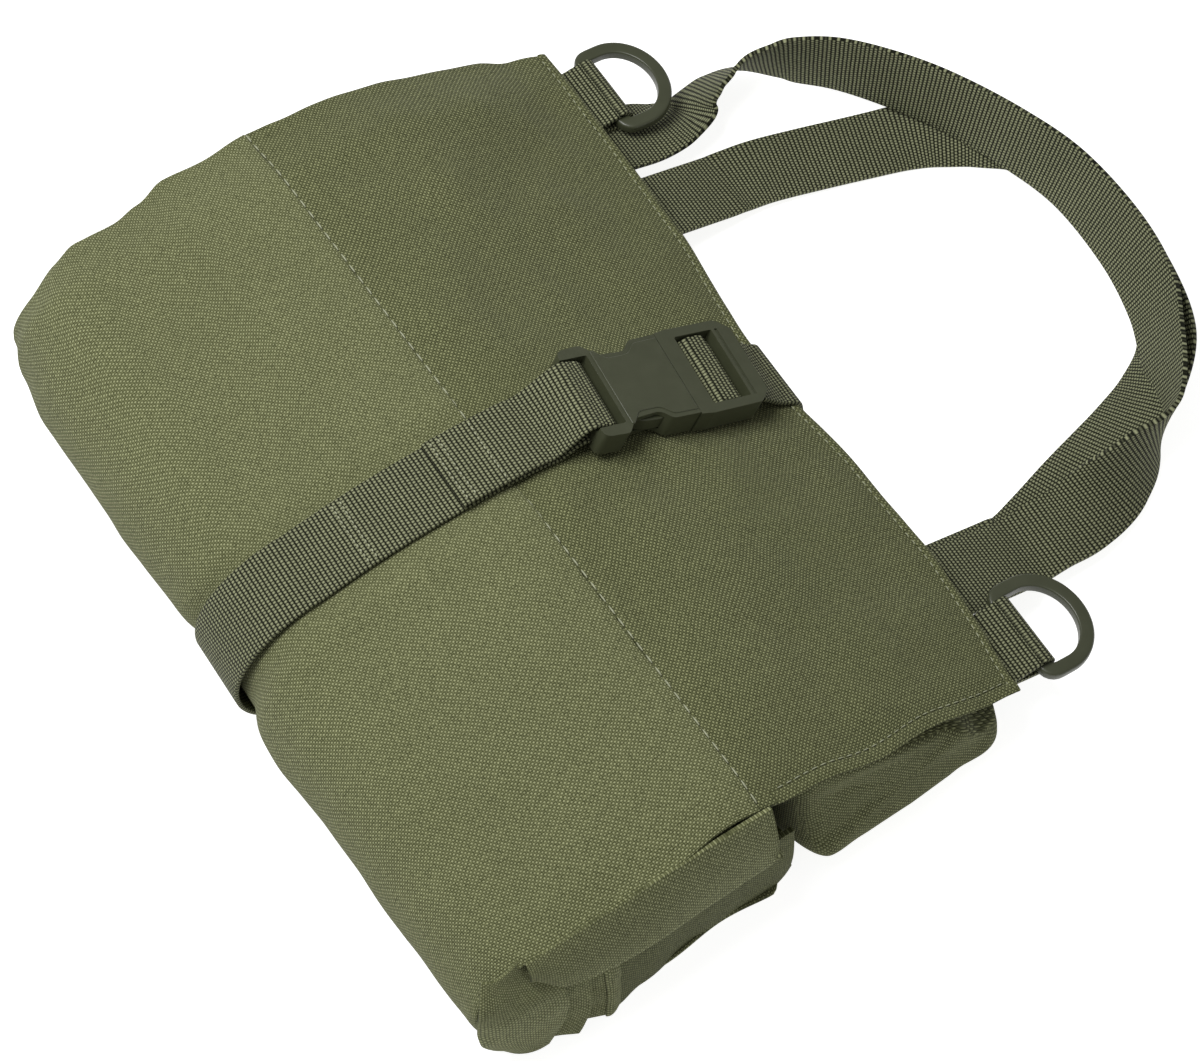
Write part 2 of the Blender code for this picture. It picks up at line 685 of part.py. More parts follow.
def ring_tab(name, side_y):
    """Webbing folded round a ring's bar, with both plies sewn in under the cover's edge."""
    bar = ring_bar(side_y)
    bar_x = EDGE_X + RING_BAR_X
    round_bar = RING_WIRE / 2 + GAP + WEB / 2
    path = [(x, top_height(x) - DEPTH_TAB_UPPER) for x in spaced(EDGE_X - STACK_START, EDGE_X, 4)]
    for i in range(11):
        angle = math.radians(115) - math.radians(205) * i / 10
        path.append((bar_x + round_bar * math.cos(angle), bar.z + round_bar * math.sin(angle)))
    path += [(x, top_height(x) - DEPTH_TAB_LOWER) for x in spaced(EDGE_X, EDGE_X - STACK_START, 4)]
    ribbon(name, along_y(path, side_y - HALF_WEB, side_y + HALF_WEB), WEB, STRAPPING)


def d_ring(name, side_y):
    """A D-shaped ring: straight bar, two short sides and a round bow."""
    holder = bpy.data.objects.new(name + "_place", None)
    PARTS.objects.link(holder)
    bar = ring_bar(side_y)
    holder.matrix_world = Matrix.Translation(bar) @ Matrix.Rotation(RING_TILT, 4, "Y")
    half = HALF_WEB + RING_SIDE_PLAY + RING_WIRE / 2
    corner = 0.0022
    side = RING_DEPTH - half * 0.86
    points = [(0, -half + corner), (0, 0), (0, half - corner)]
    points += [(corner * 0.3, half - corner * 0.3), (corner, half)]
    for i in range(13):
        angle = math.pi / 2 - math.pi * i / 12
        points.append((side + (RING_DEPTH - side) * math.cos(angle), half * math.sin(angle)))
    points += [(corner, -half), (corner * 0.3, -half + corner * 0.3)]
    curve = bpy.data.curves.new(name, "CURVE")
    curve.dimensions = "3D"
    curve.bevel_depth = RING_WIRE / 2
    curve.bevel_resolution = 2
    line = curve.splines.new("POLY")
    line.points.add(len(points) - 1)
    for point, (x, y) in zip(line.points, points):
        point.co = (x, y, 0, 1)
    line.use_cyclic_u = True
    drawn = bpy.data.objects.new(name + "_line", curve)
    PARTS.objects.link(drawn)
    made = as_mesh(drawn, name, PLASTIC, 0.45)
    made.parent = holder
    return made


# ---------------------------------------------------------------- carrying loops
def handle_stub(name, side_y, depth, join_gap):
    """A loop's sewn end: under the cover's edge and out to where the loop bends."""
    path = [(x, top_height(x) - depth) for x in spaced(EDGE_X - STACK_START, EDGE_X, 4)]
    path += [(x, stub_height(x, depth)) for x in spaced(EDGE_X + 0.004, AXIS_X - join_gap, 5)]
    ribbon(name, along_y(path, side_y - HALF_WEB, side_y + HALF_WEB), WEB, STRAPPING)


def stub_height(x, depth):
    """Height of a loop's sewn end beyond the free edge."""
    return EDGE_HEIGHT - depth - HANDLE_FALL * (x - EDGE_X)


UPPER_LOOP = [
    # x beyond the bend, y, z, twist in degrees (0 flat, 90 on edge), from the far end round
    (HANDLE_JOIN, 0.0995, None, 0),
    (0.0100, 0.1000, 0.0095, 0),
    (0.0180, 0.1005, 0.0125, 18),
    (0.0270, 0.1000, 0.0160, 52),
    (0.0360, 0.0965, 0.0172, 62),
    (0.0520, 0.0860, 0.0174, 60),
    (0.0700, 0.0630, 0.0172, 58),
    (0.0850, 0.0320, 0.0172, 58),
    (0.0920, -0.0030, 0.0172, 58),
    (0.0885, -0.0360, 0.0172, 58),
    (0.0740, -0.0660, 0.0172, 60),
    (0.0530, -0.0850, 0.0174, 60),
    (0.0360, -0.0915, 0.0160, 45),
    (0.0230, -0.0925, 0.0130, 16),
    (0.0120, -0.0920, 0.0100, 0),
    (HANDLE_JOIN, -0.0915, None, 0),
]
LOWER_LOOP = [
    (HANDLE_JOIN, 0.0735, None, 0),
    (0.0120, 0.0715, 0.0042, 0),
    (0.0280, 0.0665, 0.0028, 0),
    (0.0450, 0.0590, 0.0020, 0),
    (0.0650, 0.0460, 0.0019, 2),
    (0.0800, 0.0270, 0.0035, 12),
    (0.0900, 0.0050, 0.0068, 28),
    (0.0920, -0.0180, 0.0068, 28),
    (0.0860, -0.0400, 0.0035, 12),
    (0.0720, -0.0600, 0.0020, 2),
    (0.0560, -0.0735, 0.0020, 0),
    (0.0380, -0.0820, 0.0026, 0),
    (0.0200, -0.0865, 0.0040, 0),
    (0.0100, -0.0880, 0.0048, 0),
    (HANDLE_JOIN, -0.0885, None, 0),
]


def handle_loop(name, route, depth):
    """A carrying loop from bend to bend, twisting up onto its edge on the way round."""
    level = stub_height(AXIS_X, depth)
    points = [(AXIS_X + x, y, level if z is None else z, math.radians(twist)) for x, y, z, twist in route]
    middles = smooth_line([at(x, y, z) for x, y, z, twist in points], 4)
    twists = [p.x for p in smooth_line([(twist, 0, 0) for x, y, z, twist in points], 4)]
    stations = []
    for i, (middle, twist) in enumerate(zip(middles, twists)):
        ahead = middles[min(i + 1, len(middles) - 1)]
        behind = middles[max(i - 1, 0)]
        run = (ahead - behind).normalized()
        if i in (0, len(middles) - 1):
            run = Vector((1 if i == 0 else -1, 0, 0))
        out = run.cross(Vector((0, 0, -1))).normalized()
        up = out.cross(run).normalized()
        if up.z < 0:
            up = -up
        half = (out * math.cos(twist) + up * math.sin(twist)) * HALF_WEB
        stations.append((middle, half))
    ribbon(name, stations, WEB, STRAPPING)


def build():
    """Makes every piece."""
    sheet = outer_sheet()
    cover_flap()
    edge_hem()
    inset = inner_turns()
    inner_core(inset)
    right_roll()
    end_flaps()
    closing_strap(sheet)
    buckle = Buckle()
    buckle_socket(buckle)
    plug, first, bar_low, end_low = buckle_plug(buckle)
    latch_arms(buckle)
    buckle_webbing(buckle, first, bar_low, end_low)
    for side, side_y in (("far", TAB_Y_FAR), ("near", TAB_Y_NEAR)):
        ring_tab("d_ring_tab_" + side, side_y)
        d_ring("d_ring_" + side, side_y)
    handle_stub("upper_handle_end_far", UPPER_LOOP[0][1], DEPTH_UPPER_HANDLE, UPPER_JOIN)
    handle_stub("upper_handle_end_near", UPPER_LOOP[-1][1], DEPTH_UPPER_HANDLE, UPPER_JOIN)
    handle_stub("lower_handle_end_far", LOWER_LOOP[0][1], DEPTH_LOWER_HANDLE, HANDLE_JOIN)
    handle_stub("lower_handle_end_near", LOWER_LOOP[-1][1], DEPTH_LOWER_HANDLE, HANDLE_JOIN)
    handle_loop("upper_handle_loop", UPPER_LOOP, DEPTH_UPPER_HANDLE)
    handle_loop("lower_handle_loop", LOWER_LOOP, DEPTH_LOWER_HANDLE)


clear_scene()
PARTS = collection("folding_stretcher")
CUTTERS = collection("cutters")
build()
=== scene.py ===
"""Looks of a soft folding stretcher, folded and strapped up as a flat pack.

The pack lies on its base. Its fold runs along Y at the left (-X), its free edge with two
D-rings and two carrying loops is at the right (+X), and the closing strap with its side
release buckle runs round it along X. Sizes are in metres. Every x that a method takes is
measured from the fold, as the maker of the pack would, and Pack.at puts it in the frame.
"""

import logging
import math
from dataclasses import dataclass
from enum import Enum
from typing import Callable, Iterable, Sequence

import bmesh
import bpy
from mathutils import Matrix, Vector, noise


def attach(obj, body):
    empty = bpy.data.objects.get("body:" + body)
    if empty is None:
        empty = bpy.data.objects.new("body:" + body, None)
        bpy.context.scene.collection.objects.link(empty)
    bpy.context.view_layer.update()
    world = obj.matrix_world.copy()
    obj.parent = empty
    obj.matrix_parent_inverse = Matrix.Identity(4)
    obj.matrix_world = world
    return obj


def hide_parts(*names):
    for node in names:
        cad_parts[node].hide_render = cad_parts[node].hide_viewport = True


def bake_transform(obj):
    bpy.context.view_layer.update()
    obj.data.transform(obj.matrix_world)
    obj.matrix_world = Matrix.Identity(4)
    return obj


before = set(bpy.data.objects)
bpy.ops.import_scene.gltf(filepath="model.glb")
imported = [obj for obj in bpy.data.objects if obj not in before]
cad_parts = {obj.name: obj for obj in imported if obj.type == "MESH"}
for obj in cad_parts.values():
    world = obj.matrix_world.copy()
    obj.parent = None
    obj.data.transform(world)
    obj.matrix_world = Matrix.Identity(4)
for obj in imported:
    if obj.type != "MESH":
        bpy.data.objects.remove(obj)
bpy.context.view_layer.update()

LOG = logging.getLogger("folding_stretcher")
Pair = tuple[float, float]
Place = Callable[[float, float], Vector]


# ------------------------------------------------------------------ small sums
def clamp(value: float, low: float = 0.0, high: float = 1.0) -> float:
    """value kept between low and high."""
    return min(high, max(low, value))


def ease(value: float, low: float, high: float) -> float:
    """0 below low, 1 above high and a smooth step between them."""
    share = clamp((value - low) / (high - low))
    return share * share * (3 - 2 * share)


def spaced(low: float, high: float, count: int) -> list[float]:
    """count evenly spaced values, both ends included."""
    return [low + (high - low) * i / (count - 1) for i in range(count)]


def between(points: Sequence[Pair], where: float) -> float:
    """Smooth height of a line through (place, height) points, held level past its ends."""
    if where <= points[0][0]:
        return points[0][1]
    for (a, low), (b, high) in zip(points, points[1:]):
        if where <= b:
            return low + (high - low) * ease(where, a, b)
    return points[-1][1]


def smooth_line(points: Iterable[Sequence[float]], per_span: int) -> list[Vector]:
    """A Catmull-Rom line through points.

    Args:
        points: the places it passes through.
        per_span: steps between two of them.

    Returns:
        The line's points, the last one included.
    """
    given = [Vector(p) for p in points]
    padded = [2 * given[0] - given[1]] + given + [2 * given[-1] - given[-2]]
    line = []
    for i in range(1, len(padded) - 2):
        a, b, c, d = padded[i - 1:i + 3]
        for k in range(per_span):
            t = k / per_span
            line.append(
                0.5 * (2 * b + (c - a) * t + (2 * a - 5 * b + 4 * c - d) * t * t
                       + (3 * b - a - 3 * c + d) * t * t * t)
            )
    line.append(given[-1])
    return line


def rounded(corners: Sequence[tuple[float, float, float]], steps: int = 5) -> list[Pair]:
    """A closed outline with round corners.

    Args:
        corners: (u, v, radius) of each corner in order.
        steps: points on each round corner, less one.

    Returns:
        The (u, v) outline.
    """
    outline: list[Pair] = []
    count = len(corners)
    for i, (u, v, radius) in enumerate(corners):
        here = Vector((u, v))
        if radius <= 0:
            outline.append((u, v))
            continue
        before = Vector(corners[i - 1][:2]) - here
        after = Vector(corners[(i + 1) % count][:2]) - here
        turn = before.angle(after)
        reach = min(radius / math.tan(turn / 2), before.length * 0.49, after.length * 0.49)
        start = here + before.normalized() * reach
        stop = here + after.normalized() * reach
        for k in range(steps + 1):
            t = k / steps
            point = start.lerp(here, t).lerp(here.lerp(stop, t), t)
            outline.append((point.x, point.y))
    return outline


class Line:
    """An (x, z) line walked by its own length, with its outward normal."""

    def __init__(self, points: Sequence[Pair]) -> None:
        """Measures the line through points."""
        self.points = [Vector(p) for p in points]
        self.lengths = [0.0]
        for a, b in zip(self.points, self.points[1:]):
            self.lengths.append(self.lengths[-1] + (b - a).length)

    @property
    def length(self) -> float:
        """The whole line's length."""
        return self.lengths[-1]

    def point(self, share: float) -> Vector:
        """The (x, z) point at a share of the length from 0 to 1."""
        wanted = clamp(share) * self.length
        low, high = 0, len(self.lengths) - 1
        while high - low > 1:
            middle = (low + high) // 2
            if self.lengths[middle] <= wanted:
                low = middle
            else:
                high = middle
        span = self.lengths[high] - self.lengths[low]
        return self.points[low].lerp(self.points[high], (wanted - self.lengths[low]) / span)

    def normal(self, share: float) -> Vector:
        """The outward (x, z) normal there, on the left of the way along the line."""
        run = self.point(share + 0.004) - self.point(share - 0.004)
        return Vector((-run.y, run.x)).normalized()


# ------------------------------------------------------------------ finishes
def linear(code: str) -> tuple[float, float, float, float]:
    """An sRGB hex colour as the linear colour that a shader takes."""
    channels = [int(code[i:i + 2], 16) / 255 for i in (1, 3, 5)]
    red, green, blue = (c / 12.92 if c <= 0.04045 else ((c + 0.055) / 1.055) ** 2.4 for c in channels)
    return red, green, blue, 1.0


def add_node(
    material: bpy.types.Material,
    kind: str,
    inputs: dict[int | str, object] | None = None,
    **settings: object,
) -> bpy.types.Node:
    """Adds a shader node.

    Args:
        material: the material whose tree it joins.
        kind: the node's type, such as ShaderNodeMath.
        inputs: a value for each socket, or another node's output to link to it.
        settings: the node's own properties.

    Returns:
        The new node.
    """
    tree = material.node_tree
    node = tree.nodes.new(kind)
    for name, value in settings.items():
        setattr(node, name, value)
    for socket, value in (inputs or {}).items():
        if isinstance(value, bpy.types.NodeSocket):
            tree.links.new(value, node.inputs[socket])
        else:
            node.inputs[socket].default_value = value
    return node


def maths(material: bpy.types.Material, operation: str, *values: object, clamped: bool = False) -> bpy.types.NodeSocket:
    """The result of a Math node on values or sockets."""
    given = dict(enumerate(values))
    return add_node(material, "ShaderNodeMath", given, operation=operation, use_clamp=clamped).outputs[0]


def blended(material: bpy.types.Material, share: object, low: object, high: object) -> bpy.types.NodeSocket:
    """The colour a share of the way from low to high, given as sockets or hex codes."""
    ends = [linear(c) if isinstance(c, str) else c for c in (low, high)]
    inputs = {0: share, 6: ends[0], 7: ends[1]}
    return add_node(material, "ShaderNodeMix", inputs, data_type="RGBA").outputs[2]


def new_material(name: str) -> tuple[bpy.types.Material, bpy.types.Node]:
    """An empty Principled material and its shader."""
    material = bpy.data.materials.new(name)
    material.use_nodes = True
    return material, material.node_tree.nodes["Principled BSDF"]


def surface_metres(material: bpy.types.Material, wander: float, grain: float) -> tuple[bpy.types.NodeSocket, ...]:
    """Where a point is on its cloth, in metres along and across it.

    Args:
        material: the material it is for.
        wander: how far the threads stray from straight, in metres.
        grain: how often they stray, in turns a metre.

    Returns:
        The sockets along, across, and the pair as one vector.
    """
    flat = add_node(material, "ShaderNodeTexCoord").outputs["UV"]
    stray = add_node(material, "ShaderNodeTexNoise", {"Vector": flat, "Scale": grain, "Detail": 1.0}).outputs["Color"]
    centred = add_node(material, "ShaderNodeVectorMath", {0: stray, 1: (0.5, 0.5, 0.5)}, operation="SUBTRACT").outputs[0]
    moved = add_node(material, "ShaderNodeVectorMath", {0: centred, "Scale": wander * 2}, operation="SCALE").outputs[0]
    place = add_node(material, "ShaderNodeVectorMath", {0: flat, 1: moved}, operation="ADD").outputs[0]
    parts = add_node(material, "ShaderNodeSeparateXYZ", {0: place})
    return parts.outputs[0], parts.outputs[1], place


@dataclass(frozen=True)
class ClothFinish:
    """Woven polyester canvas, 600 denier: matt, with a coarse plain weave of round threads.

    The threads that run one way come out lighter than the others, which gives the eye a
    grid of pale dots on a darker ground.
    """

    name: str
    pale: str
    deep: str
    gap: str
    thread: float = 0.00074
    relief: float = 0.00016
    roughness: float = 0.86
    mottle: float = 0.16

    def make(self) -> bpy.types.Material:
        """The material, whose weave follows the piece's own UV map in metres."""
        material, shader = new_material(self.name)
        along, across, place = surface_metres(material, 0.0006, 55.0)
        turns = math.pi / self.thread
        wave_along = maths(material, "SINE", maths(material, "MULTIPLY", along, turns))
        wave_across = maths(material, "SINE", maths(material, "MULTIPLY", across, turns))
        product = maths(material, "MULTIPLY", wave_along, wave_across)
        dome = maths(material, "ABSOLUTE", product)
        over = maths(material, "MULTIPLY_ADD", product, 1.6, 0.5, clamped=True)
        thread_colour = blended(material, over, self.deep, self.pale)
        lit = maths(material, "POWER", dome, 0.55)
        fibre = add_node(material, "ShaderNodeTexNoise", {"Vector": place, "Scale": 900.0, "Detail": 2.0}).outputs[0]
        frayed = maths(material, "MULTIPLY_ADD", fibre, 0.9, -0.45)
        lit = maths(material, "ADD", lit, frayed, clamped=True)
        woven = blended(material, lit, self.gap, thread_colour)
        cloud = add_node(material, "ShaderNodeTexNoise", {"Vector": place, "Scale": 24.0, "Detail": 3.0}).outputs[0]
        slub = add_node(material, "ShaderNodeTexNoise", {"Vector": place, "Scale": 260.0, "Detail": 1.0}).outputs[0]
        tone = maths(material, "MULTIPLY_ADD", cloud, self.mottle, 1.0 - self.mottle / 2)
        tone = maths(material, "MULTIPLY_ADD", slub, 0.22, maths(material, "SUBTRACT", tone, 0.11))
        toned = add_node(
            material, "ShaderNodeVectorMath", {0: woven, "Scale": tone}, operation="SCALE").outputs[0]
        rise = maths(material, "MULTIPLY_ADD", fibre, 0.25, dome)
        bump = add_node(material, "ShaderNodeBump", {"Height": rise, "Strength": 0.75, "Distance": self.relief * 2})
        tree = material.node_tree
        tree.links.new(toned, shader.inputs["Base Color"])
        tree.links.new(bump.outputs[0], shader.inputs["Normal"])
        shader.inputs["Roughness"].default_value = self.roughness
        shader.inputs["Specular IOR Level"].default_value = 0.10
        shader.inputs["Sheen Weight"].default_value = 0.04
        shader.inputs["Sheen Roughness"].default_value = 0.5
        return material


@dataclass(frozen=True)
class WebbingFinish:
    """Flat polyester webbing: firm cross ribs, each a row of small pale stitches."""

    name: str
    pale: str
    deep: str
    rib: float = 0.00140
    column: float = 0.00105
    relief: float = 0.00035
    roughness: float = 0.78

    def make(self) -> bpy.types.Material:
        """The material, whose ribs run across the piece's own UV map in metres."""
        material, shader = new_material(self.name)
        along, across, place = surface_metres(material, 0.00015, 120.0)
        rib_wave = maths(material, "SINE", maths(material, "MULTIPLY", along, math.pi / self.rib))
        rib = maths(material, "ABSOLUTE", rib_wave)
        offset = maths(material, "MULTIPLY", maths(material, "SIGN", rib_wave), math.pi / 4)
        column_turn = maths(material, "MULTIPLY_ADD", across, math.pi / self.column, offset)
        column = maths(material, "ABSOLUTE", maths(material, "SINE", column_turn))
        stitch = maths(material, "MULTIPLY", rib, maths(material, "POWER", column, 0.6))
        fibre = add_node(material, "ShaderNodeTexNoise", {"Vector": place, "Scale": 1100.0, "Detail": 2.0}).outputs[0]
        lit = maths(
            material, "MULTIPLY_ADD", fibre, 0.7, maths(material, "MULTIPLY_ADD", stitch, 1.3, -0.66), clamped=True)
        woven = blended(material, lit, self.deep, self.pale)
        cloud = add_node(material, "ShaderNodeTexNoise", {"Vector": place, "Scale": 60.0, "Detail": 2.0}).outputs[0]
        tone = maths(material, "MULTIPLY_ADD", cloud, 0.24, 0.88)
        toned = add_node(material, "ShaderNodeVectorMath", {0: woven, "Scale": tone}, operation="SCALE").outputs[0]
        bump = add_node(material, "ShaderNodeBump", {"Height": stitch, "Strength": 0.8, "Distance": self.relief})
        tree = material.node_tree
        tree.links.new(toned, shader.inputs["Base Color"])
        tree.links.new(bump.outputs[0], shader.inputs["Normal"])
        shader.inputs["Roughness"].default_value = self.roughness
        shader.inputs["Specular IOR Level"].default_value = 0.14
        shader.inputs["Sheen Weight"].default_value = 0.02
        return material


@dataclass(frozen=True)
class PlasticFinish:
    """Moulded acetal with a fine spark-eroded texture: even colour, soft broad gloss."""

    name: str
    base: str
    worn: str
    roughness: float = 0.36

    def make(self) -> bpy.types.Material:
        """The material, on Object coordinates."""
        material, shader = new_material(self.name)
        place = add_node(material, "ShaderNodeTexCoord").outputs["Object"]
        cloud = add_node(material, "ShaderNodeTexNoise", {"Vector": place, "Scale": 160.0, "Detail": 3.0}).outputs[0]
        colour = blended(material, cloud, self.base, self.worn)
        grit = add_node(material, "ShaderNodeTexNoise", {"Vector": place, "Scale": 3200.0, "Detail": 1.0}).outputs[0]
        bump = add_node(material, "ShaderNodeBump", {"Height": grit, "Strength": 0.12, "Distance": 0.0001})
        gloss = add_node(
            material, "ShaderNodeMapRange",
            {0: cloud, 3: self.roughness - 0.05, 4: self.roughness + 0.06}).outputs[0]
        tree = material.node_tree
        tree.links.new(colour, shader.inputs["Base Color"])
        tree.links.new(gloss, shader.inputs["Roughness"])
        tree.links.new(bump.outputs[0], shader.inputs["Normal"])
        shader.inputs["IOR"].default_value = 1.48
        return material


@dataclass(frozen=True)
class ThreadFinish:
    """Twisted polyester sewing thread, a little glossier than the cloth."""

    name: str
    base: str
    deep: str

    def make(self) -> bpy.types.Material:
        """The material, with the twist as a fine wave on Object coordinates."""
        material, shader = new_material(self.name)
        place = add_node(material, "ShaderNodeTexCoord").outputs["Object"]
        twist = add_node(material, "ShaderNodeTexNoise", {"Vector": place, "Scale": 1500.0, "Detail": 1.0}).outputs[0]
        colour = blended(material, twist, self.deep, self.base)
        material.node_tree.links.new(colour, shader.inputs["Base Color"])
        shader.inputs["Roughness"].default_value = 0.6
        return material


class Finish(Enum):
    """The pack's materials, by the record's slots where they have one."""

    PACK_CLOTH = "pack_cloth"
    COVER_CLOTH_PAINTED_SHADE = "cover_cloth"
    INNER_CLOTH_PAINTED_SHADE = "inner_cloth"
    WEBBING = "webbing"
    BUCKLE_PLASTIC = "buckle_plastic"
    THREAD = "thread"


FINISHES = {
    Finish.PACK_CLOTH: ClothFinish("woven_canvas", pale="#989b74", deep="#6c6f4b", gap="#30331a"),
    # the cover is the same canvas painted darker: painted shade for the panel that falls away from the light, also
    # carried by its hems and the roll under it
    Finish.COVER_CLOTH_PAINTED_SHADE: ClothFinish("woven_canvas_cover_painted_shade", pale="#90936b", deep="#5d6040", gap="#25280f"),
    # the inside is the same canvas painted darker: painted shade where the bundles, pleats, lower tongue and edge
    # facing lie in shadow
    Finish.INNER_CLOTH_PAINTED_SHADE: ClothFinish("woven_canvas_inside_painted_shade", pale="#7b7e5a", deep="#55583a", gap="#24270f"),
    Finish.WEBBING: WebbingFinish("ribbed_webbing", pale="#8d9070", deep="#14160a"),
    Finish.BUCKLE_PLASTIC: PlasticFinish("moulded_acetal", base="#363928", worn="#414432"),
    Finish.THREAD: ThreadFinish("sewing_thread", base="#a3a68b", deep="#74775c"),
}
MADE: dict[Finish, bpy.types.Material] = {}


def material_of(finish: Finish) -> bpy.types.Material:
    """The one material of a finish, made the first time it is asked for."""
    if finish not in MADE:
        MADE[finish] = FINISHES[finish].make()
    return MADE[finish]


# ------------------------------------------------------------------ meshes
def put(name: str, shape: bmesh.types.BMesh, finish: Finish, smooth: bool = True) -> bpy.types.Object:
    """Makes a shape a named object at the origin, with its finish."""
    mesh = bpy.data.meshes.new(name)
    for face in shape.faces:
        face.smooth = smooth
    shape.to_mesh(mesh)
    shape.free()
    mesh.materials.append(material_of(finish))
    piece = bpy.data.objects.new(name, mesh)
    bpy.context.scene.collection.objects.link(piece)
    return piece


def cloth_grid(shape: bmesh.types.BMesh, columns: int, rows: int, size: Pair, place: Place) -> list[bmesh.types.BMVert]:
    """Adds a sheet of cloth to a shape, with its UV map in metres.

    Args:
        shape: what the sheet is added to.
        columns: steps along the cloth.
        rows: steps across it.
        size: the cloth's length and width, which scale its UV map.
        place: gives the point at a share along and a share across.

    Returns:
        The sheet's vertices.
    """
    made = bmesh.ops.create_grid(shape, x_segments=columns, y_segments=rows, size=0.5)
    flat = shape.loops.layers.uv.verify()
    shares = {v: (v.co.x + 0.5, v.co.y + 0.5) for v in made["verts"]}
    for face in {f for v in made["verts"] for f in v.link_faces}:
        for loop in face.loops:
            along, across = shares[loop.vert]
            loop[flat].uv = (along * size[0], across * size[1])
    for vert, (along, across) in shares.items():
        vert.co = place(along, across)
    return made["verts"]


def thicken(piece: bpy.types.Object, thickness: float, offset: float = 0.0, edge: float = 0.3) -> None:
    """Gives a sheet its thickness and rounds its rim by a share of it."""
    wall = piece.modifiers.new("thickness", "SOLIDIFY")
    wall.thickness = thickness
    wall.offset = offset
    wall.use_even_offset = True
    rim = piece.modifiers.new("rim", "BEVEL")
    rim.width = thickness * edge
    rim.segments = 2
    rim.limit_method = "ANGLE"
    rim.angle_limit = math.radians(60)


def sheet(
    name: str, columns: int, rows: int, size: Pair, place: Place, thickness: float, finish: Finish, offset: float = 0.0,
) -> bpy.types.Object:
    """A single sheet of cloth with an even thickness."""
    shape = bmesh.new()
    cloth_grid(shape, columns, rows, size, place)
    piece = put(name, shape, finish)
    thicken(piece, thickness, offset)
    return piece


def turn_over(piece: bpy.types.Object) -> None:
    """Turns a sheet's faces round."""
    shape = bmesh.new()
    shape.from_mesh(piece.data)
    bmesh.ops.reverse_faces(shape, faces=shape.faces)
    shape.to_mesh(piece.data)
    shape.free()


def ribbon(
    name: str, middles: Sequence[Vector], halves: Sequence[Vector], thickness: float, across: int = 8,
) -> bpy.types.Object:
    """A length of webbing.

    Args:
        name: the piece's name.
        middles: the line down its middle, finely spaced.
        halves: its half width there, as a vector across it.
        thickness: the webbing's thickness.
        across: steps across it.

    Returns:
        The piece.
    """
    lengths = [0.0]
    for a, b in zip(middles, middles[1:]):
        lengths.append(lengths[-1] + (b - a).length)
    total = lengths[-1]
    last = len(middles) - 1

    def place(along: float, side: float) -> Vector:
        """The point on the webbing."""
        wanted = along * last
        low = min(int(wanted), last - 1)
        part = wanted - low
        middle = middles[low].lerp(middles[low + 1], part)
        half = halves[low].lerp(halves[low + 1], part)
        return middle + half * (2 * side - 1)

    shape = bmesh.new()
    flat = shape.loops.layers.uv.verify()
    cloth_grid(shape, last, across, (1.0, 2 * halves[0].length), place)
    for face in shape.faces:
        for loop in face.loops:
            share = loop[flat].uv.x * last
            low = min(int(share + 1e-4), last - 1)
            loop[flat].uv.x = lengths[low] + (lengths[low + 1] - lengths[low]) * (share - low)
    LOG.debug("%s is %.0f mm long", name, total * 1000)
    piece = put(name, shape, Finish.WEBBING)
    piece["flat_length"] = total
    thicken(piece, thickness)
    return piece


def stitch_row(
    shape: bmesh.types.BMesh, places: Sequence[tuple[Vector, Vector]], pitch: float, wire: float, share: float = 0.68,
    rise: float = 0.35,
) -> None:
    """Sews a row of single stitches along a line.

    Args:
        shape: what the stitches are added to.
        places: the line's points, each with the outward normal of the cloth there.
        pitch: from one stitch to the next.
        wire: the thread's thickness.
        share: how much of the pitch shows on this side.
        rise: how far a stitch's middle stands above its ends, in wires.
    """
    lengths = [0.0]
    for (a, _), (b, _) in zip(places, places[1:]):
        lengths.append(lengths[-1] + (b - a).length)

    def spot(wanted: float) -> tuple[Vector, Vector]:
        """The point and normal at a length along the line."""
        for i in range(len(lengths) - 1):
            if wanted <= lengths[i + 1]:
                part = (wanted - lengths[i]) / max(1e-9, lengths[i + 1] - lengths[i])
                (a, na), (b, nb) = places[i], places[i + 1]
                return a.lerp(b, part), na.lerp(nb, part).normalized()
        return places[-1]

    start = pitch * 0.2
    while start + pitch * share < lengths[-1]:
        near, up = spot(start)
        far, _ = spot(start + pitch * share)
        run = far - near
        across = up.cross(run).normalized()
        turn = Matrix((run.normalized(), across, up)).transposed().to_4x4()
        middle = (near + far) / 2
        made = bmesh.ops.create_uvsphere(shape, u_segments=6, v_segments=5, radius=0.5)
        for vert in made["verts"]:
            co = vert.co.copy()
            # the sphere's poles lie along the thread
            along = co.z * 2
            local = Vector((along * run.length / 2, co.x * wire, co.y * wire * 0.8))
            local.z += wire * rise * (1 - along * along)
            vert.co = middle + turn @ local
        start += pitch


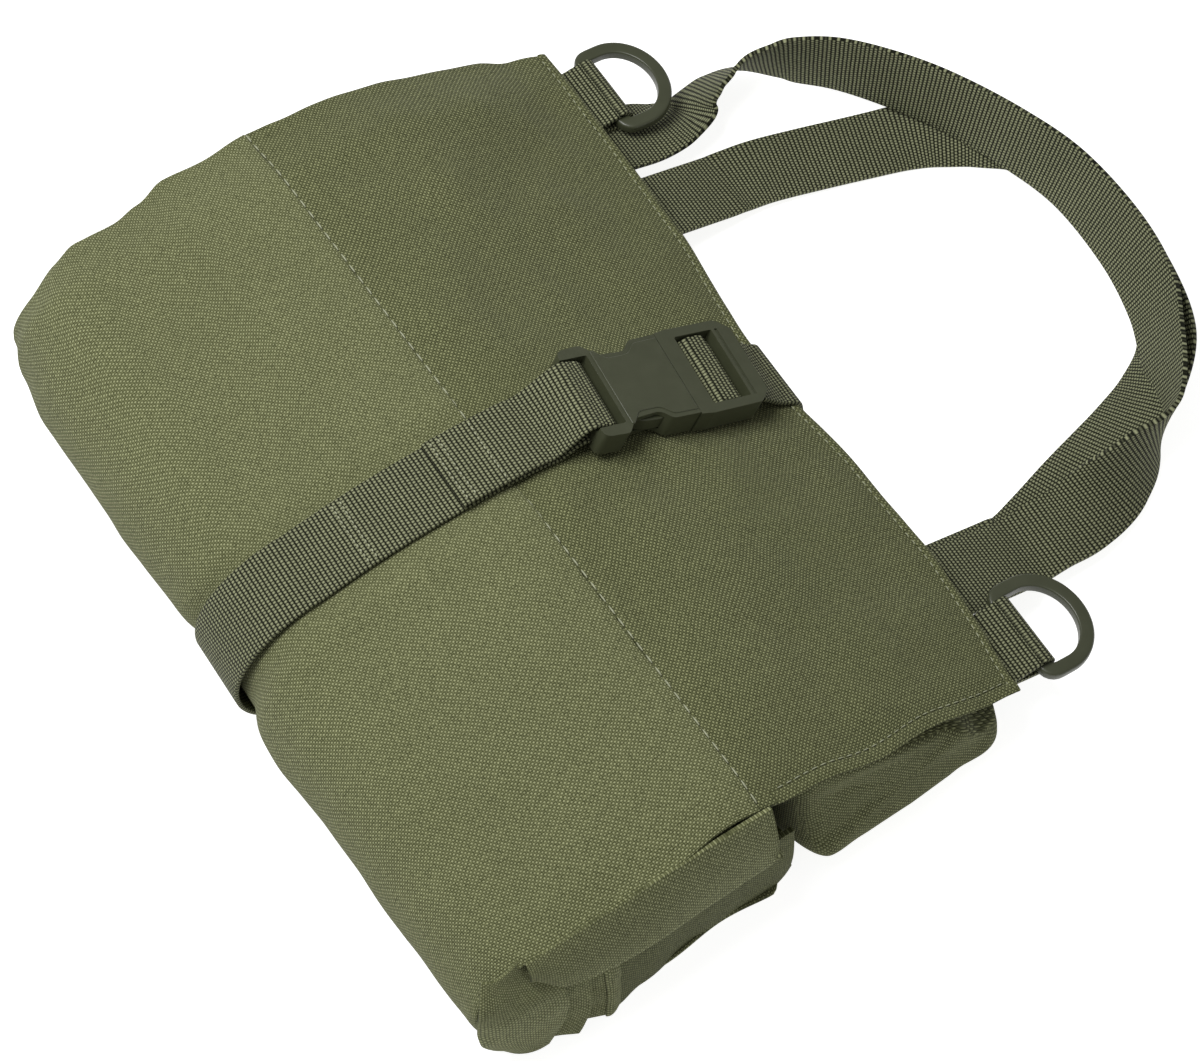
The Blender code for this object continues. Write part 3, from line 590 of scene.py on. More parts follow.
def pillow(
    name: str,
    span: Pair,
    floor: Callable[[float], float],
    roof: Callable[[float], float],
    ends: Callable[[float, float], Pair],
    swell: Callable[[Vector], float],
    pack: "Pack",
    squareness: Pair = (4.5, 6.0),
    detail: Pair = (72, 84),
    finish: Finish = Finish.INNER_CLOTH_PAINTED_SHADE,
) -> bpy.types.Object:
    """A stuffed bundle of cloth with round ends.

    Args:
        name: the piece's name.
        span: its lowest and highest x.
        floor: its lower height at x.
        roof: its upper height at x.
        ends: its near and far y at (x, z).
        swell: how far a point stands out of the plain form.
        pack: the pack that it lies in.
        squareness: how square its section is, and how square its ends are.
        detail: steps round it and along it.
        finish: its finish.

    Returns:
        The piece.
    """
    shape = bmesh.new()
    flat = shape.loops.layers.uv.verify()
    turn = Matrix.Rotation(-math.pi / 2, 4, "X")
    bmesh.ops.create_uvsphere(shape, u_segments=int(detail[0]), v_segments=int(detail[1]), radius=1.0, matrix=turn)
    middle_x, half_x = (span[0] + span[1]) / 2, (span[1] - span[0]) / 2
    tall = roof(middle_x) - floor(middle_x)

    def power(value: float, exponent: float) -> float:
        """A signed power."""
        return math.copysign(abs(value) ** exponent, value)

    for vert in shape.verts:
        direction = vert.co.normalized()
        angle = math.atan2(direction.z, direction.x)
        lean = math.asin(clamp(direction.y, -1, 1))
        shrink = power(math.cos(lean), 2 / squareness[1])
        reach = power(math.sin(lean), 2 / squareness[1])
        across = power(math.cos(angle), 2 / squareness[0]) * shrink
        up = power(math.sin(angle), 2 / squareness[0]) * shrink
        x = middle_x + half_x * across
        low, high = floor(x), roof(x)
        z = low + (high - low) * (up + 1) / 2
        near, far = ends(x, z)
        y = (near + far) / 2 + (far - near) / 2 * reach
        point = pack.at(x, y, z)
        outward = Vector((across / half_x, reach ** 9 * 30, up / max(tall, 0.004))).normalized()
        vert.co = point + outward * swell(point)
    bmesh.ops.recalc_face_normals(shape, faces=shape.faces)
    for face in shape.faces:
        lengthways = abs(face.normal.y) < 0.6
        for loop in face.loops:
            co = loop.vert.co
            loop[flat].uv = (co.x + co.z, co.y) if lengthways else (co.x, co.z)
    return put(name, shape, finish)


# ------------------------------------------------------------------ the folded litter
@dataclass(frozen=True)
class Pack:
    """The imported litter's outer form, which every other piece takes its place from."""

    length: float = 0.280
    width: float = 0.200
    fold_height: float = 0.058
    seam_height: float = 0.063
    edge_height: float = 0.027
    fold_depth: float = 0.030
    crest_x: float = 0.100
    crest_round: float = 0.050
    centre_x: float = 0.167325
    webbing: float = 0.025
    web: float = 0.0015
    gap: float = 0.00035
    sheet: float = 0.003
    strap_bow: float = 0.010
    strap_turn: float = 0.060
    strap_y_high: float = 0.003

    @property
    def half(self) -> float:
        """Half the pack's length."""
        return self.length / 2

    @property
    def slope(self) -> float:
        """The cover's fall towards its free edge."""
        return (self.seam_height - self.edge_height) / (self.width - self.crest_x - self.crest_round / 2)

    @property
    def lean(self) -> float:
        """Cosine of the cover's fall."""
        return math.cos(math.atan(self.slope))

    def at(self, x: float, y: float, z: float) -> Vector:
        """A point given from the fold, in the part's frame."""
        return Vector((x - self.centre_x, y, z))

    def top(self, x: float) -> float:
        """Height of the outer cloth at x."""
        if x < self.fold_depth:
            reach = (self.fold_depth - x) / self.fold_depth
            return self.fold_height / 2 * (1 + math.sqrt(max(0.0, 1 - reach * reach)))
        if x < self.crest_x:
            share = (x - self.fold_depth) / (self.crest_x - self.fold_depth)
            return self.fold_height + (self.seam_height - self.fold_height) * math.sin(share * math.pi / 2)
        past = x - self.crest_x
        if past < self.crest_round:
            return self.seam_height - self.slope * past * past / (2 * self.crest_round)
        return self.seam_height - self.slope * (past - self.crest_round / 2)

    def bottom(self, x: float) -> float:
        """Lowest height inside the outer cloth at x."""
        share = clamp((self.fold_depth - x) / (self.fold_depth - self.sheet))
        return self.fold_height / 2 - (self.fold_height / 2 - self.sheet) * math.sqrt(1 - share * share)

    def strap_y(self, x: float) -> float:
        """Sideways place of the strap's middle at x."""
        if x > self.strap_turn:
            past = (x - self.strap_turn) / (self.width - self.strap_turn)
            return self.strap_y_high - self.strap_bow * past ** 2
        return self.strap_y_high - 0.4 * self.strap_bow * ((self.strap_turn - x) / self.strap_turn) ** 2

    def seam_x(self, y: float) -> float:
        """Where the seam between the litter and its cover lies; it runs a little askew."""
        return 0.0975 - 0.029 * y

    def edge_x(self, y: float) -> float:
        """Where the cover's free edge is: drawn in by the strap and at the near corner."""
        return self.width + between(
            ((-0.136, -0.0040), (-0.085, 0.0008), (-0.050, -0.0010), (-0.012, -0.0048), (0.012, -0.0048),
             (0.058, -0.0004), (0.090, 0.0010), (0.141, 0.0008)), y)

    def near_y(self, x: float, height: float) -> float:
        """The outer cloth's near edge at x, from the base (height 0) to the top (1)."""
        wave = 0.0010 * math.sin(x * 71 + 1.3) + 0.0006 * math.sin(x * 163)
        inside = 0.0150 * ease(x, 0.104, 0.118) * (1 - height)
        return -0.1425 + 0.0050 * height + wave + inside

    def far_y(self, x: float, height: float) -> float:
        """The outer cloth's far edge at x, from the base (height 0) to the top (1)."""
        top = between(
            ((0.008, 0.1352), (0.018, 0.1392), (0.028, 0.1418), (0.042, 0.1408), (0.052, 0.1428), (0.064, 0.1464),
             (0.080, 0.1446), (0.097, 0.1460), (0.111, 0.1446), (0.127, 0.1454), (0.144, 0.1448), (0.160, 0.1440),
             (0.178, 0.1434), (0.190, 0.1416), (0.202, 0.1396)), x)
        inside = 0.0150 * ease(x, 0.104, 0.118) * (1 - height)
        return 0.1415 + (top - 0.1415) * (0.35 + 0.65 * height) - inside

    def fold_out(self, y: float) -> float:
        """How far the slack cloth stands out of the round fold at y."""
        return between(
            ((-0.142, -0.0040), (-0.134, -0.0022), (-0.100, -0.0004), (-0.060, 0.0010), (-0.030, 0.0034),
             (0.012, 0.0036), (0.060, 0.0054), (0.106, 0.0070), (0.124, 0.0050), (0.134, 0.0018),
             (0.146, -0.0065)), y)

    def tightness(self, x: float, y: float) -> float:
        """1 under the strap, fading to 0 where the cloth is free of it."""
        off = abs(y - self.strap_y(x)) - self.webbing / 2
        return 1 - ease(off, 0.0015, 0.016)

    def swell(self, point: Vector, height: float = 1.0) -> float:
        """How far the slack cloth stands out of its plain form, as broad soft dents."""
        broad = noise.noise(point * 17.0 + Vector((3.1, 0.4, 7.7)))
        middle = noise.noise(point * 41.0 + Vector((0.7, 5.2, 1.9)))
        fine = noise.noise(point * 96.0 + Vector((8.3, 2.6, 0.2)))
        return (0.0017 * broad + 0.0009 * middle + 0.00025 * fine) * height

    def droop(self, y: float) -> float:
        """How far the cloth falls away where nothing fills it, close to the pack's ends."""
        near = 1 - ease(y, -self.half, -self.half + 0.016)
        far = ease(y, self.half - 0.020, self.half + 0.006)
        return 0.0022 * near + 0.0048 * far


@dataclass(frozen=True)
class OuterCloth:
    """The litter's outermost turn of canvas: base, round fold and top up to the seam."""

    pack: Pack
    thickness: float = 0.0021
    base_stop: float = 0.192
    columns: int = 190
    rows: int = 150

    def line(self) -> Line:
        """The cloth's middle, from the base's right end round the fold to the seam."""
        pack, inset = self.pack, self.thickness / 2
        points = [(x, inset) for x in spaced(self.base_stop, pack.fold_depth, 24)]
        for i in range(1, 48):
            angle = -math.pi / 2 - math.pi * i / 48
            points.append((
                pack.fold_depth + (pack.fold_depth - inset) * math.cos(angle),
                pack.fold_height / 2 + (pack.fold_height / 2 - inset) * math.sin(angle)))
        points += [(x, pack.top(x) - inset) for x in spaced(pack.fold_depth, pack.seam_x(0), 40)]
        return Line(points)

    def place(self, line: Line, along: float, side: float) -> Vector:
        """The point at a share along the line and across the pack."""
        pack = self.pack
        spot, normal = line.point(along), line.normal(along)
        height = ease(spot.y, 0.006, 0.050)
        x = spot.x
        near, far = pack.near_y(x, height), pack.far_y(x, height)
        y = near + (far - near) * side
        over = ease(x, 0.035, pack.seam_x(0)) * (1 if spot.y > 0.04 else 0)
        x += (pack.seam_x(y) - pack.seam_x(0)) * over
        point = pack.at(x, y, spot.y)
        tight = pack.tightness(spot.x, y)
        if spot.y < 0.004:
            stand = -abs(pack.swell(point)) * 0.5 * (1 - tight) - 0.0022 * tight
        else:
            stand = pack.swell(point) * (1 - tight) - 0.0004 * tight
            stand += pack.fold_out(y) * max(0.0, -normal.x) * (1 - tight)
            stand += 0.0007 * tight * (1 - tight) * 4
            seam = 1 - ease(pack.seam_x(y) - x, 0.0, 0.007)
            stand -= 0.0005 * seam * (1 if spot.y > 0.04 else 0)
            stand -= pack.droop(y) * ease(spot.y, 0.030, 0.055)
        return point + Vector((normal.x, 0, normal.y)) * stand

    def build(self) -> bpy.types.Object:
        """Makes the outer cloth."""
        line = self.line()
        piece = sheet(
            "outer_cloth", self.columns, self.rows, (line.length, self.pack.length + 0.006),
            lambda a, b: self.place(line, a, b), self.thickness, Finish.PACK_CLOTH)
        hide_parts("outer_sheet")
        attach(piece, "root")
        return piece


@dataclass(frozen=True)
class CoverCloth:
    """The end panel, sewn on at the seam, that falls over the right side to its free edge."""

    pack: Pack
    thickness: float = 0.0021
    columns: int = 86
    rows: int = 170
    hem: float = 0.0024
    facing_depth: float = 0.0106

    def place(self, along: float, side: float, lift: float = 0.0) -> Vector:
        """The point at a share from the seam to the free edge, and across the pack."""
        pack = self.pack
        rough = pack.crest_x + (pack.width - pack.crest_x) * along
        near, far = pack.near_y(rough, 1.0) + 0.0006, pack.far_y(rough, 1.0) - 0.0008 * along
        y = near + (far - near) * side
        start, stop = pack.seam_x(y) - 0.0003, pack.edge_x(y)
        x = start + (stop - start) * along
        point = pack.at(x, y, pack.top(x) - self.thickness / 2 / pack.lean)
        tight = pack.tightness(x, y)
        free = ease(along, 0.0, 0.10)
        held = ease(along, 0.85, 1.0)
        stand = pack.swell(point, 1.7) * (1 - tight) * (1 - 0.55 * held) * free
        hollow = 0.0024 * math.exp(-((along - 0.42) / 0.22) ** 2) * (1 - tight)
        stand -= hollow * (0.5 + 0.5 * math.sin(y * 31 + 0.8)) + 0.0006 * tight
        stand -= 0.0005 * (1 - free)
        stand -= pack.droop(y) * (1 - 0.75 * held)
        rise = math.atan(pack.slope) * ease(along, 0.05, 0.5)
        return point + Vector((math.sin(rise), 0, math.cos(rise))) * (stand + lift)

    def build(self) -> list[bpy.types.Object]:
        """Makes the cover, its two hems, the facing under its edge and their stitches."""
        pack = self.pack
        size = (pack.width - pack.crest_x + 0.008, pack.length + 0.004)
        cover = sheet("cover_cloth", self.columns, self.rows, size, self.place, self.thickness, Finish.COVER_CLOTH_PAINTED_SHADE)
        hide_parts("cover_flap")
        hem_share = self.hem / (pack.width - pack.crest_x)
        edge_hem = sheet(
            "free_edge_hem", 6, 170, (self.hem, pack.length),
            lambda a, b: self.place(1.0 - hem_share * (1 - a) + 0.002, b, 0.00095 + 0.0003 * math.sin(a * math.pi)),
            0.0010, Finish.COVER_CLOTH_PAINTED_SHADE)
        near_share = 0.0038 / pack.length
        near_hem = sheet(
            "near_edge_hem", 70, 8, (0.1, 0.0038),
            lambda a, b: self.place(0.06 + 0.945 * a, near_share * b - 0.0016,
                                    0.00095 + 0.0003 * math.sin(b * math.pi)),
            0.0010, Finish.COVER_CLOTH_PAINTED_SHADE)
        facing = sheet(
            "edge_facing", 14, 120, (0.018, pack.length - 0.002),
            lambda a, b: self.place(0.84 + 0.145 * a, 0.035 + 0.93 * b) - Vector((0, 0, self.facing_depth)),
            0.0010, Finish.INNER_CLOTH_PAINTED_SHADE)
        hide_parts("edge_hem")
        shape = bmesh.new()
        up = Vector((0.30, 0, 0.95)).normalized()
        stitch_row(shape, [(self.place(1.0 - hem_share, b, 0.0013), up) for b in spaced(0.004, 0.996, 120)],
                   0.0031, 0.00042)
        stitch_row(shape, [(self.place(a, near_share, 0.0013), up) for a in spaced(0.08, 0.97, 60)],
                   0.0031, 0.00042)
        hem_thread = put("hem_stitches", shape, Finish.THREAD)
        made = [cover, edge_hem, near_hem, facing, hem_thread]
        for piece in made:
            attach(piece, "root")
        return made


@dataclass(frozen=True)
class Seam:
    """The topstitched line between the litter and its cover."""

    pack: Pack
    cover: CoverCloth
    pitch: float = 0.0048
    thread: float = 0.00062

    def build(self) -> bpy.types.Object:
        """Sews the row of single stitches."""
        shape = bmesh.new()
        places = [
            (self.cover.place(0.0, b, 0.00140) + Vector((0.0003, 0, 0)), Vector((0, 0, 1)))
            for b in spaced(0.003, 0.997, 160)
        ]
        under = [p for p in places if abs(p[0].y - self.pack.strap_y(0.095)) > 0.0135]
        near = [p for p in under if p[0].y < 0]
        far = [p for p in under if p[0].y > 0]
        for side in (near, far):
            stitch_row(shape, side, self.pitch, self.thread, share=0.74, rise=0.3)
        piece = put("seam_stitches", shape, Finish.THREAD)
        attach(piece, "root")
        return piece


@dataclass(frozen=True)
class Filling:
    """The folded litter inside: two bundles under the fold and a roll under the cover."""

    pack: Pack
    set_back: float = 0.0015

    def crumple(self, point: Vector) -> float:
        """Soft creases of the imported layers, stronger at the pack's ends."""
        end = ease(abs(point.y), 0.105, 0.135)
        lines = noise.noise(Vector((point.x * 60, point.y * 16, point.z * 120 + 4.0)))
        broad = noise.noise(point * 34.0 + Vector((1.0, 9.0, 4.0)))
        return (0.0004 + 0.0011 * end) * lines + (0.0003 + 0.0010 * end) * broad - 0.0006

    def ends(self, near: float, far: float, tuck: float) -> Callable[[float, float], Pair]:
        """Near and far y of a bundle, tucked in towards its right end."""
        def spans(x: float, z: float) -> Pair:
            """The two ends at (x, z)."""
            pull = tuck * ease(x, 0.06, 0.12)
            return near + pull, far - pull
        return spans

    def roll_ends(self, x: float, z: float) -> Pair:
        """The roll's two ends at (x, z): the near one slopes out towards its foot."""
        foot = between(((0.112, -0.1400), (0.124, -0.1496), (0.150, -0.1462), (0.192, -0.1416)), x)
        share = clamp(z / 0.034)
        return foot + (-0.1372 - foot) * share, self.pack.half - self.set_back - 0.002

    def build(self) -> list[bpy.types.Object]:
        """Makes the three padded bundles."""
        pack = self.pack
        back = pack.half - self.set_back
        lower = pillow(
            "padded_bundle_lower", (0.0052, 0.1090), lambda x: pack.bottom(x) + 0.0002,
            lambda x: min(0.0325, pack.top(x) - 0.003), self.ends(-back, back, 0.002), self.crumple, pack)
        upper = pillow(
            "padded_bundle_upper", (0.0062, 0.1060), lambda x: 0.0318,
            lambda x: max(0.0340, pack.top(x) - 0.0038), self.ends(-back, back - 0.009, 0.002), self.crumple, pack,
            (4.5, 4.0))
        roll = pillow(
            "padded_roll", (0.1115, 0.1975), lambda x: 0.0016,
            lambda x: pack.top(x) - 0.0060 - 0.0095 * ease(x, 0.172, 0.184),
            self.roll_ends, self.crumple, pack, (8.0, 9.0), (96, 110), Finish.COVER_CLOTH_PAINTED_SHADE)
        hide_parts("inner_turn_1", "core_bundle_lower")
        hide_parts("inner_turn_2", "core_bundle_upper")
        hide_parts("roll_turn", "roll_core")
        for piece in (lower, upper, roll):
            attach(piece, "root")
        return [lower, upper, roll]


@dataclass(frozen=True)
class EndFlap:
    """A flap of canvas at one end of the pack, whose lower edge is folded back inside.

    side is -1 at the near end and 1 at the far end. The flap comes out from under the top
    at start, falls to its folded edge at low, and stands at foot there; both are given
    along X.
    """

    name: str
    node: str
    side: int
    span: Pair
    high: Callable[[float], float]
    low: Sequence[Pair]
    start: float
    foot: Sequence[Pair]
    bulge: float = 0.0010
    thickness: float = 0.0017
    corner: float = 0.0065
    finish: Finish = Finish.PACK_CLOTH
    fold: float = 0.66

    def place(self, pack: Pack, along: float, down: float) -> Vector:
        """The point at a share along X and a share down the flap and back inside."""
        low_x, high_x = self.span
        x = low_x + (high_x - low_x) * along
        roof = self.high(x)
        right = max(0.0, self.corner - (high_x - x)) / self.corner
        floor = between(self.low, x) + self.corner * (1 - math.sqrt(max(0.0, 1 - right * right)))
        foot = between(self.foot, x)
        wave = 0.0006 * math.sin(x * 83 + self.start * 900) + 0.0007 * noise.noise(Vector((x * 60, self.start * 99, 3)))
        if down < self.fold:
            t = down / self.fold
            z = roof + (floor - roof) * t
            y = self.start + (foot - self.start) * t ** 0.8 + self.bulge * math.sin(math.pi * t) + wave * t
        else:
            t = (down - self.fold) / (1 - self.fold)
            bend = min(1.0, t / 0.25) * math.pi
            inside = max(0.0, t - 0.25)
            z = floor + (1 - math.cos(bend)) * 0.0006 - 0.0006 * math.sin(bend) + inside * (roof - floor) * 0.35
            y = foot + wave - 0.0011 * (1 - math.cos(bend)) - inside * 0.003
        return pack.at(x, self.side * y, max(z, 0.0011))

    def build(self, pack: Pack) -> bpy.types.Object:
        """Makes the flap."""
        low_x, high_x = self.span
        middle = (low_x + high_x) / 2
        tall = (self.high(middle) - between(self.low, middle)) * 1.4
        piece = sheet(
            self.name, 64, 44, (high_x - low_x, tall), lambda a, b: self.place(pack, a, b),
            self.thickness, self.finish)
        if self.side > 0:
            turn_over(piece)
        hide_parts(self.node)
        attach(piece, "root")
        return piece


@dataclass(frozen=True)
class EndLeaf:
    """One leaf of a knife pleat at the near end, ruled between its left and right edges.

    Each edge is a line of (x, y, z) from its top to its foot, with y counted outwards.
    """

    name: str
    nodes: tuple[str, ...]
    left: Sequence[tuple[float, float, float]]
    right: Sequence[tuple[float, float, float]]
    bulge: float
    thickness: float = 0.0013
    finish: Finish = Finish.PACK_CLOTH

    def build(self, pack: Pack, edging: Sequence[bpy.types.Object] = (), cut: bool = True) -> bpy.types.Object:
        """Makes the leaf.

        Args:
            pack: the pack it closes.
            edging: narrow folds of the same sheet, made before it; not used.
            cut: whether it is a sheet of its own, and not such a fold; not used.

        Returns:
            The leaf.
        """
        steps = 8
        left = smooth_line([pack.at(x, -y, z) for x, y, z in self.left], steps)
        right = smooth_line([pack.at(x, -y, z) for x, y, z in self.right], steps)
        last = len(left) - 1

        def place(along: float, down: float) -> Vector:
            """The point at a share between the edges and a share of the way down."""
            row = min(round(down * last), last)
            point = left[row].lerp(right[row], along)
            slack = 0.0005 * noise.noise(point * 130.0)
            return point - Vector((0, self.bulge * math.sin(math.pi * along ** 0.7) + slack, 0))

        width = sum((b - a).length for a, b in zip(left, right)) / len(left)
        tall = sum((b - a).length for a, b in zip(right, right[1:]))
        piece = sheet(self.name, 24, last, (width, tall), place, self.thickness, self.finish)
        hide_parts(*self.nodes)
        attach(piece, "root")
        return piece


@dataclass(frozen=True)
class EndPleats:
    """The gathered cloth inside the fold's end: one sheet laid in four knife pleats."""

    name: str
    nodes: tuple[str, ...]
    side: int
    span: Pair = (0.0060, 0.0530)
    depth: float = 0.0042
    pleats: float = 4.0
    start: float = 0.1372
    fan: float = 0.020

    def place(self, pack: Pack, along: float, up: float) -> Vector:
        """The point at a share along X and a share of the height."""
        low_x, high_x = self.span
        x = low_x + (high_x - low_x) * along
        floor = pack.bottom(x) - 0.0004
        roof = pack.top(x) - 0.0100
        z = floor + (roof - floor) * up
        lean = along + self.fan * (up - 0.5) / (high_x - low_x) * 0.9
        turn = (lean * self.pleats) % 1.0
        knife = turn / 0.82 if turn < 0.82 else (1 - turn) / 0.18
        hold = math.sin(math.pi * clamp(up)) ** 0.35
        out = self.depth * knife * hold * (0.75 + 0.45 * noise.noise(Vector((lean * 3.1, up * 2, self.side))))
        x += 0.0016 * knife * hold
        y = self.start + out + 0.0010 * noise.noise(Vector((x * 90, z * 90, 5)))
        return pack.at(x, self.side * y, z)

    def build(self, pack: Pack) -> bpy.types.Object:
        """Makes the pleated sheet."""
        low_x, high_x = self.span
        size = ((high_x - low_x) * 1.35, 0.052)
        piece = sheet(
            self.name, 120, 40, size, lambda a, b: self.place(pack, a, b), 0.0011, Finish.INNER_CLOTH_PAINTED_SHADE)
        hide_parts(*self.nodes)
        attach(piece, "root")
        return piece


# ------------------------------------------------------------------ straps
@dataclass(frozen=True)
class Strap:
    """The closing strap: webbing round the pack, its sewn tacks, and the buckle's loop."""

    pack: Pack
    top_end: float = 0.094
    loop_back: float = 0.014
    fold_out: float = 0.0020

    def stations(self) -> tuple[list[Vector], list[Vector]]:
        """Middles and half widths from the base's right end round the fold to the seam."""
        pack = self.pack
        level = pack.web / 2
        half = Vector((0, pack.webbing / 2, 0))
        points = []
        far_x = pack.width - 0.0075
        low_y, high_y = pack.strap_y(0), pack.strap_y(pack.width)
        for x in spaced(far_x, pack.fold_depth, 60):
            share = (x - pack.fold_depth) / (far_x - pack.fold_depth)
            points.append(pack.at(x, low_y + (high_y - low_y) * share, level))
        reach = pack.fold_depth + pack.gap + level + self.fold_out
        tall = (pack.fold_height + pack.gap) / 2
        for i in range(1, 56):
            angle = -math.pi / 2 - math.pi * i / 56
            share = i / 56
            y = low_y + (pack.strap_y(pack.fold_depth) - low_y) * share
            points.append(pack.at(
                pack.fold_depth + reach * math.cos(angle), y, level + tall + tall * math.sin(angle)))
        for x in spaced(pack.fold_depth, self.top_end, 60):
            points.append(pack.at(x, pack.strap_y(x), pack.top(x) + pack.gap + level - 0.0002))
        return points, [half] * len(points)

    def tack(self, shape: bmesh.types.BMesh, x: float, level: float, rows: int) -> None:
        """Sews rows of zigzag stitches across the strap at x."""
        pack = self.pack
        for row in range(rows):
            places = []
            for i in range(27):
                share = i / 26 * 2 - 1
                y = pack.strap_y(x) + share * (pack.webbing / 2 - 0.0012)
                wander = x + row * 0.0028 + 0.00022 * (-1) ** i
                places.append((pack.at(wander, y, pack.top(wander) + level), Vector((0, 0, 1))))
            stitch_row(shape, places, 0.0021, 0.00066, share=0.72, rise=0.45)

    def build(self, buckle: "Buckle") -> list[bpy.types.Object]:
        """Makes the strap, the buckle's sewn loop and the stitches."""
        pack = self.pack
        middles, halves = self.stations()
        strap = ribbon("strap_webbing", middles, halves, pack.web)
        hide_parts("closing_strap")
        loop = self.buckle_loop(buckle)
        shape = bmesh.new()
        self.tack(shape, 0.0475, pack.gap + pack.web - 0.00015, 2)
        self.tack(shape, self.top_end - self.loop_back + 0.0022, pack.gap * 2 + pack.web * 2 + 0.00005, 2)
        self.tack(shape, self.top_end + 0.0015, pack.gap * 2 + pack.web * 2 + 0.00015, 1)
        thread = put("strap_tacks", shape, Finish.THREAD)
        for piece in (strap, loop, thread):
            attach(piece, "root")
        return [strap, loop, thread]

    def buckle_loop(self, buckle: "Buckle") -> bpy.types.Object:
        """The webbing that holds the socket: up to its bar, round it and back over itself."""
        pack = self.pack
        level = pack.gap + pack.web / 2
        bar = buckle.thick / 2
        radius = bar - 0.0026 + level
        points = [pack.at(x, pack.strap_y(x), pack.top(x) + level) for x in
                  spaced(self.top_end + 0.0007, buckle.bar_x - 0.012, 5)]
        points.append(buckle.point(-0.0050, 0, bar - radius - 0.0002))
        for i in range(9):
            angle = -math.pi / 2 + math.pi * i / 8
            points.append(buckle.point(0.0044 * math.cos(angle) + 0.0010, 0, bar + radius * math.sin(angle)))
        points.append(buckle.point(-0.0050, 0, bar + radius - 0.0003))
        lift = level + pack.web + pack.gap
        for x in spaced(buckle.bar_x - 0.013, self.top_end - self.loop_back, 6):
            extra = 0.0014 * max(0.0, (x - self.top_end) / (buckle.bar_x - self.top_end))
            points.append(pack.at(x, pack.strap_y(x), pack.top(x) + lift + extra))
        line = smooth_line(points, 6)
        flat, turned = Vector((0, pack.webbing / 2, 0)), buckle.across * (pack.webbing / 2)
        halves = [flat.lerp(turned, clamp((p.x + pack.centre_x - buckle.bar_x + 0.014) / 0.010)) for p in line]
        piece = ribbon("buckle_loop_webbing", line, halves, pack.web)
        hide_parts("buckle_loop")
        return piece


# ------------------------------------------------------------------ buckle
def plate(outline: Sequence[Pair], low: float, high: float) -> bmesh.types.BMesh:
    """A flat solid with a (u, v) outline between two heights."""
    shape = bmesh.new()
    verts = [shape.verts.new((u, v, low)) for u, v in outline]
    face = shape.faces.new(verts)
    made = bmesh.ops.extrude_face_region(shape, geom=[face])["geom"]
    raised = [g for g in made if isinstance(g, bmesh.types.BMVert)]
    bmesh.ops.translate(shape, verts=raised, vec=(0, 0, high - low))
    bmesh.ops.recalc_face_normals(shape, faces=shape.faces)
    return shape


def solid(name: str, shape: bmesh.types.BMesh) -> bpy.types.Object:
    """A working solid that is not yet dressed."""
    mesh = bpy.data.meshes.new(name)
    shape.to_mesh(mesh)
    shape.free()
    made = bpy.data.objects.new(name, mesh)
    bpy.context.scene.collection.objects.link(made)
    return made


def carve(body: bpy.types.Object, tools: Sequence[tuple[str, bmesh.types.BMesh]]) -> None:
    """Cuts or joins solids to a body in order and leaves one plain mesh.

    Args:
        body: the solid that is worked on.
        tools: DIFFERENCE or UNION, and the shape used for it.
    """
    for operation, shape in tools:
        tool = solid("tool", shape)
        step = body.modifiers.new("carve", "BOOLEAN")
        step.operation = operation
        step.solver = "EXACT"
        step.object = tool
        bpy.context.view_layer.update()
        turned = body.evaluated_get(bpy.context.evaluated_depsgraph_get())
        mesh = bpy.data.meshes.new_from_object(turned)
        body.modifiers.clear()
        body.data = mesh
        bpy.data.objects.remove(tool)


def box_outline(low_u: float, high_u: float, low_v: float, high_v: float, radius: float = 0.0) -> list[Pair]:
    """A rectangle as an outline, with round corners if a radius is given."""
    return rounded([(low_u, low_v, radius), (high_u, low_v, radius), (high_u, high_v, radius), (low_u, high_v, radius)])


def both_sides(half: Sequence[tuple[float, float, float]]) -> list[Pair]:
    """A whole round-cornered outline from its +v half, whose corners run along u."""
    return rounded(list(half) + [(u, -v, r) for u, v, r in reversed(half)])


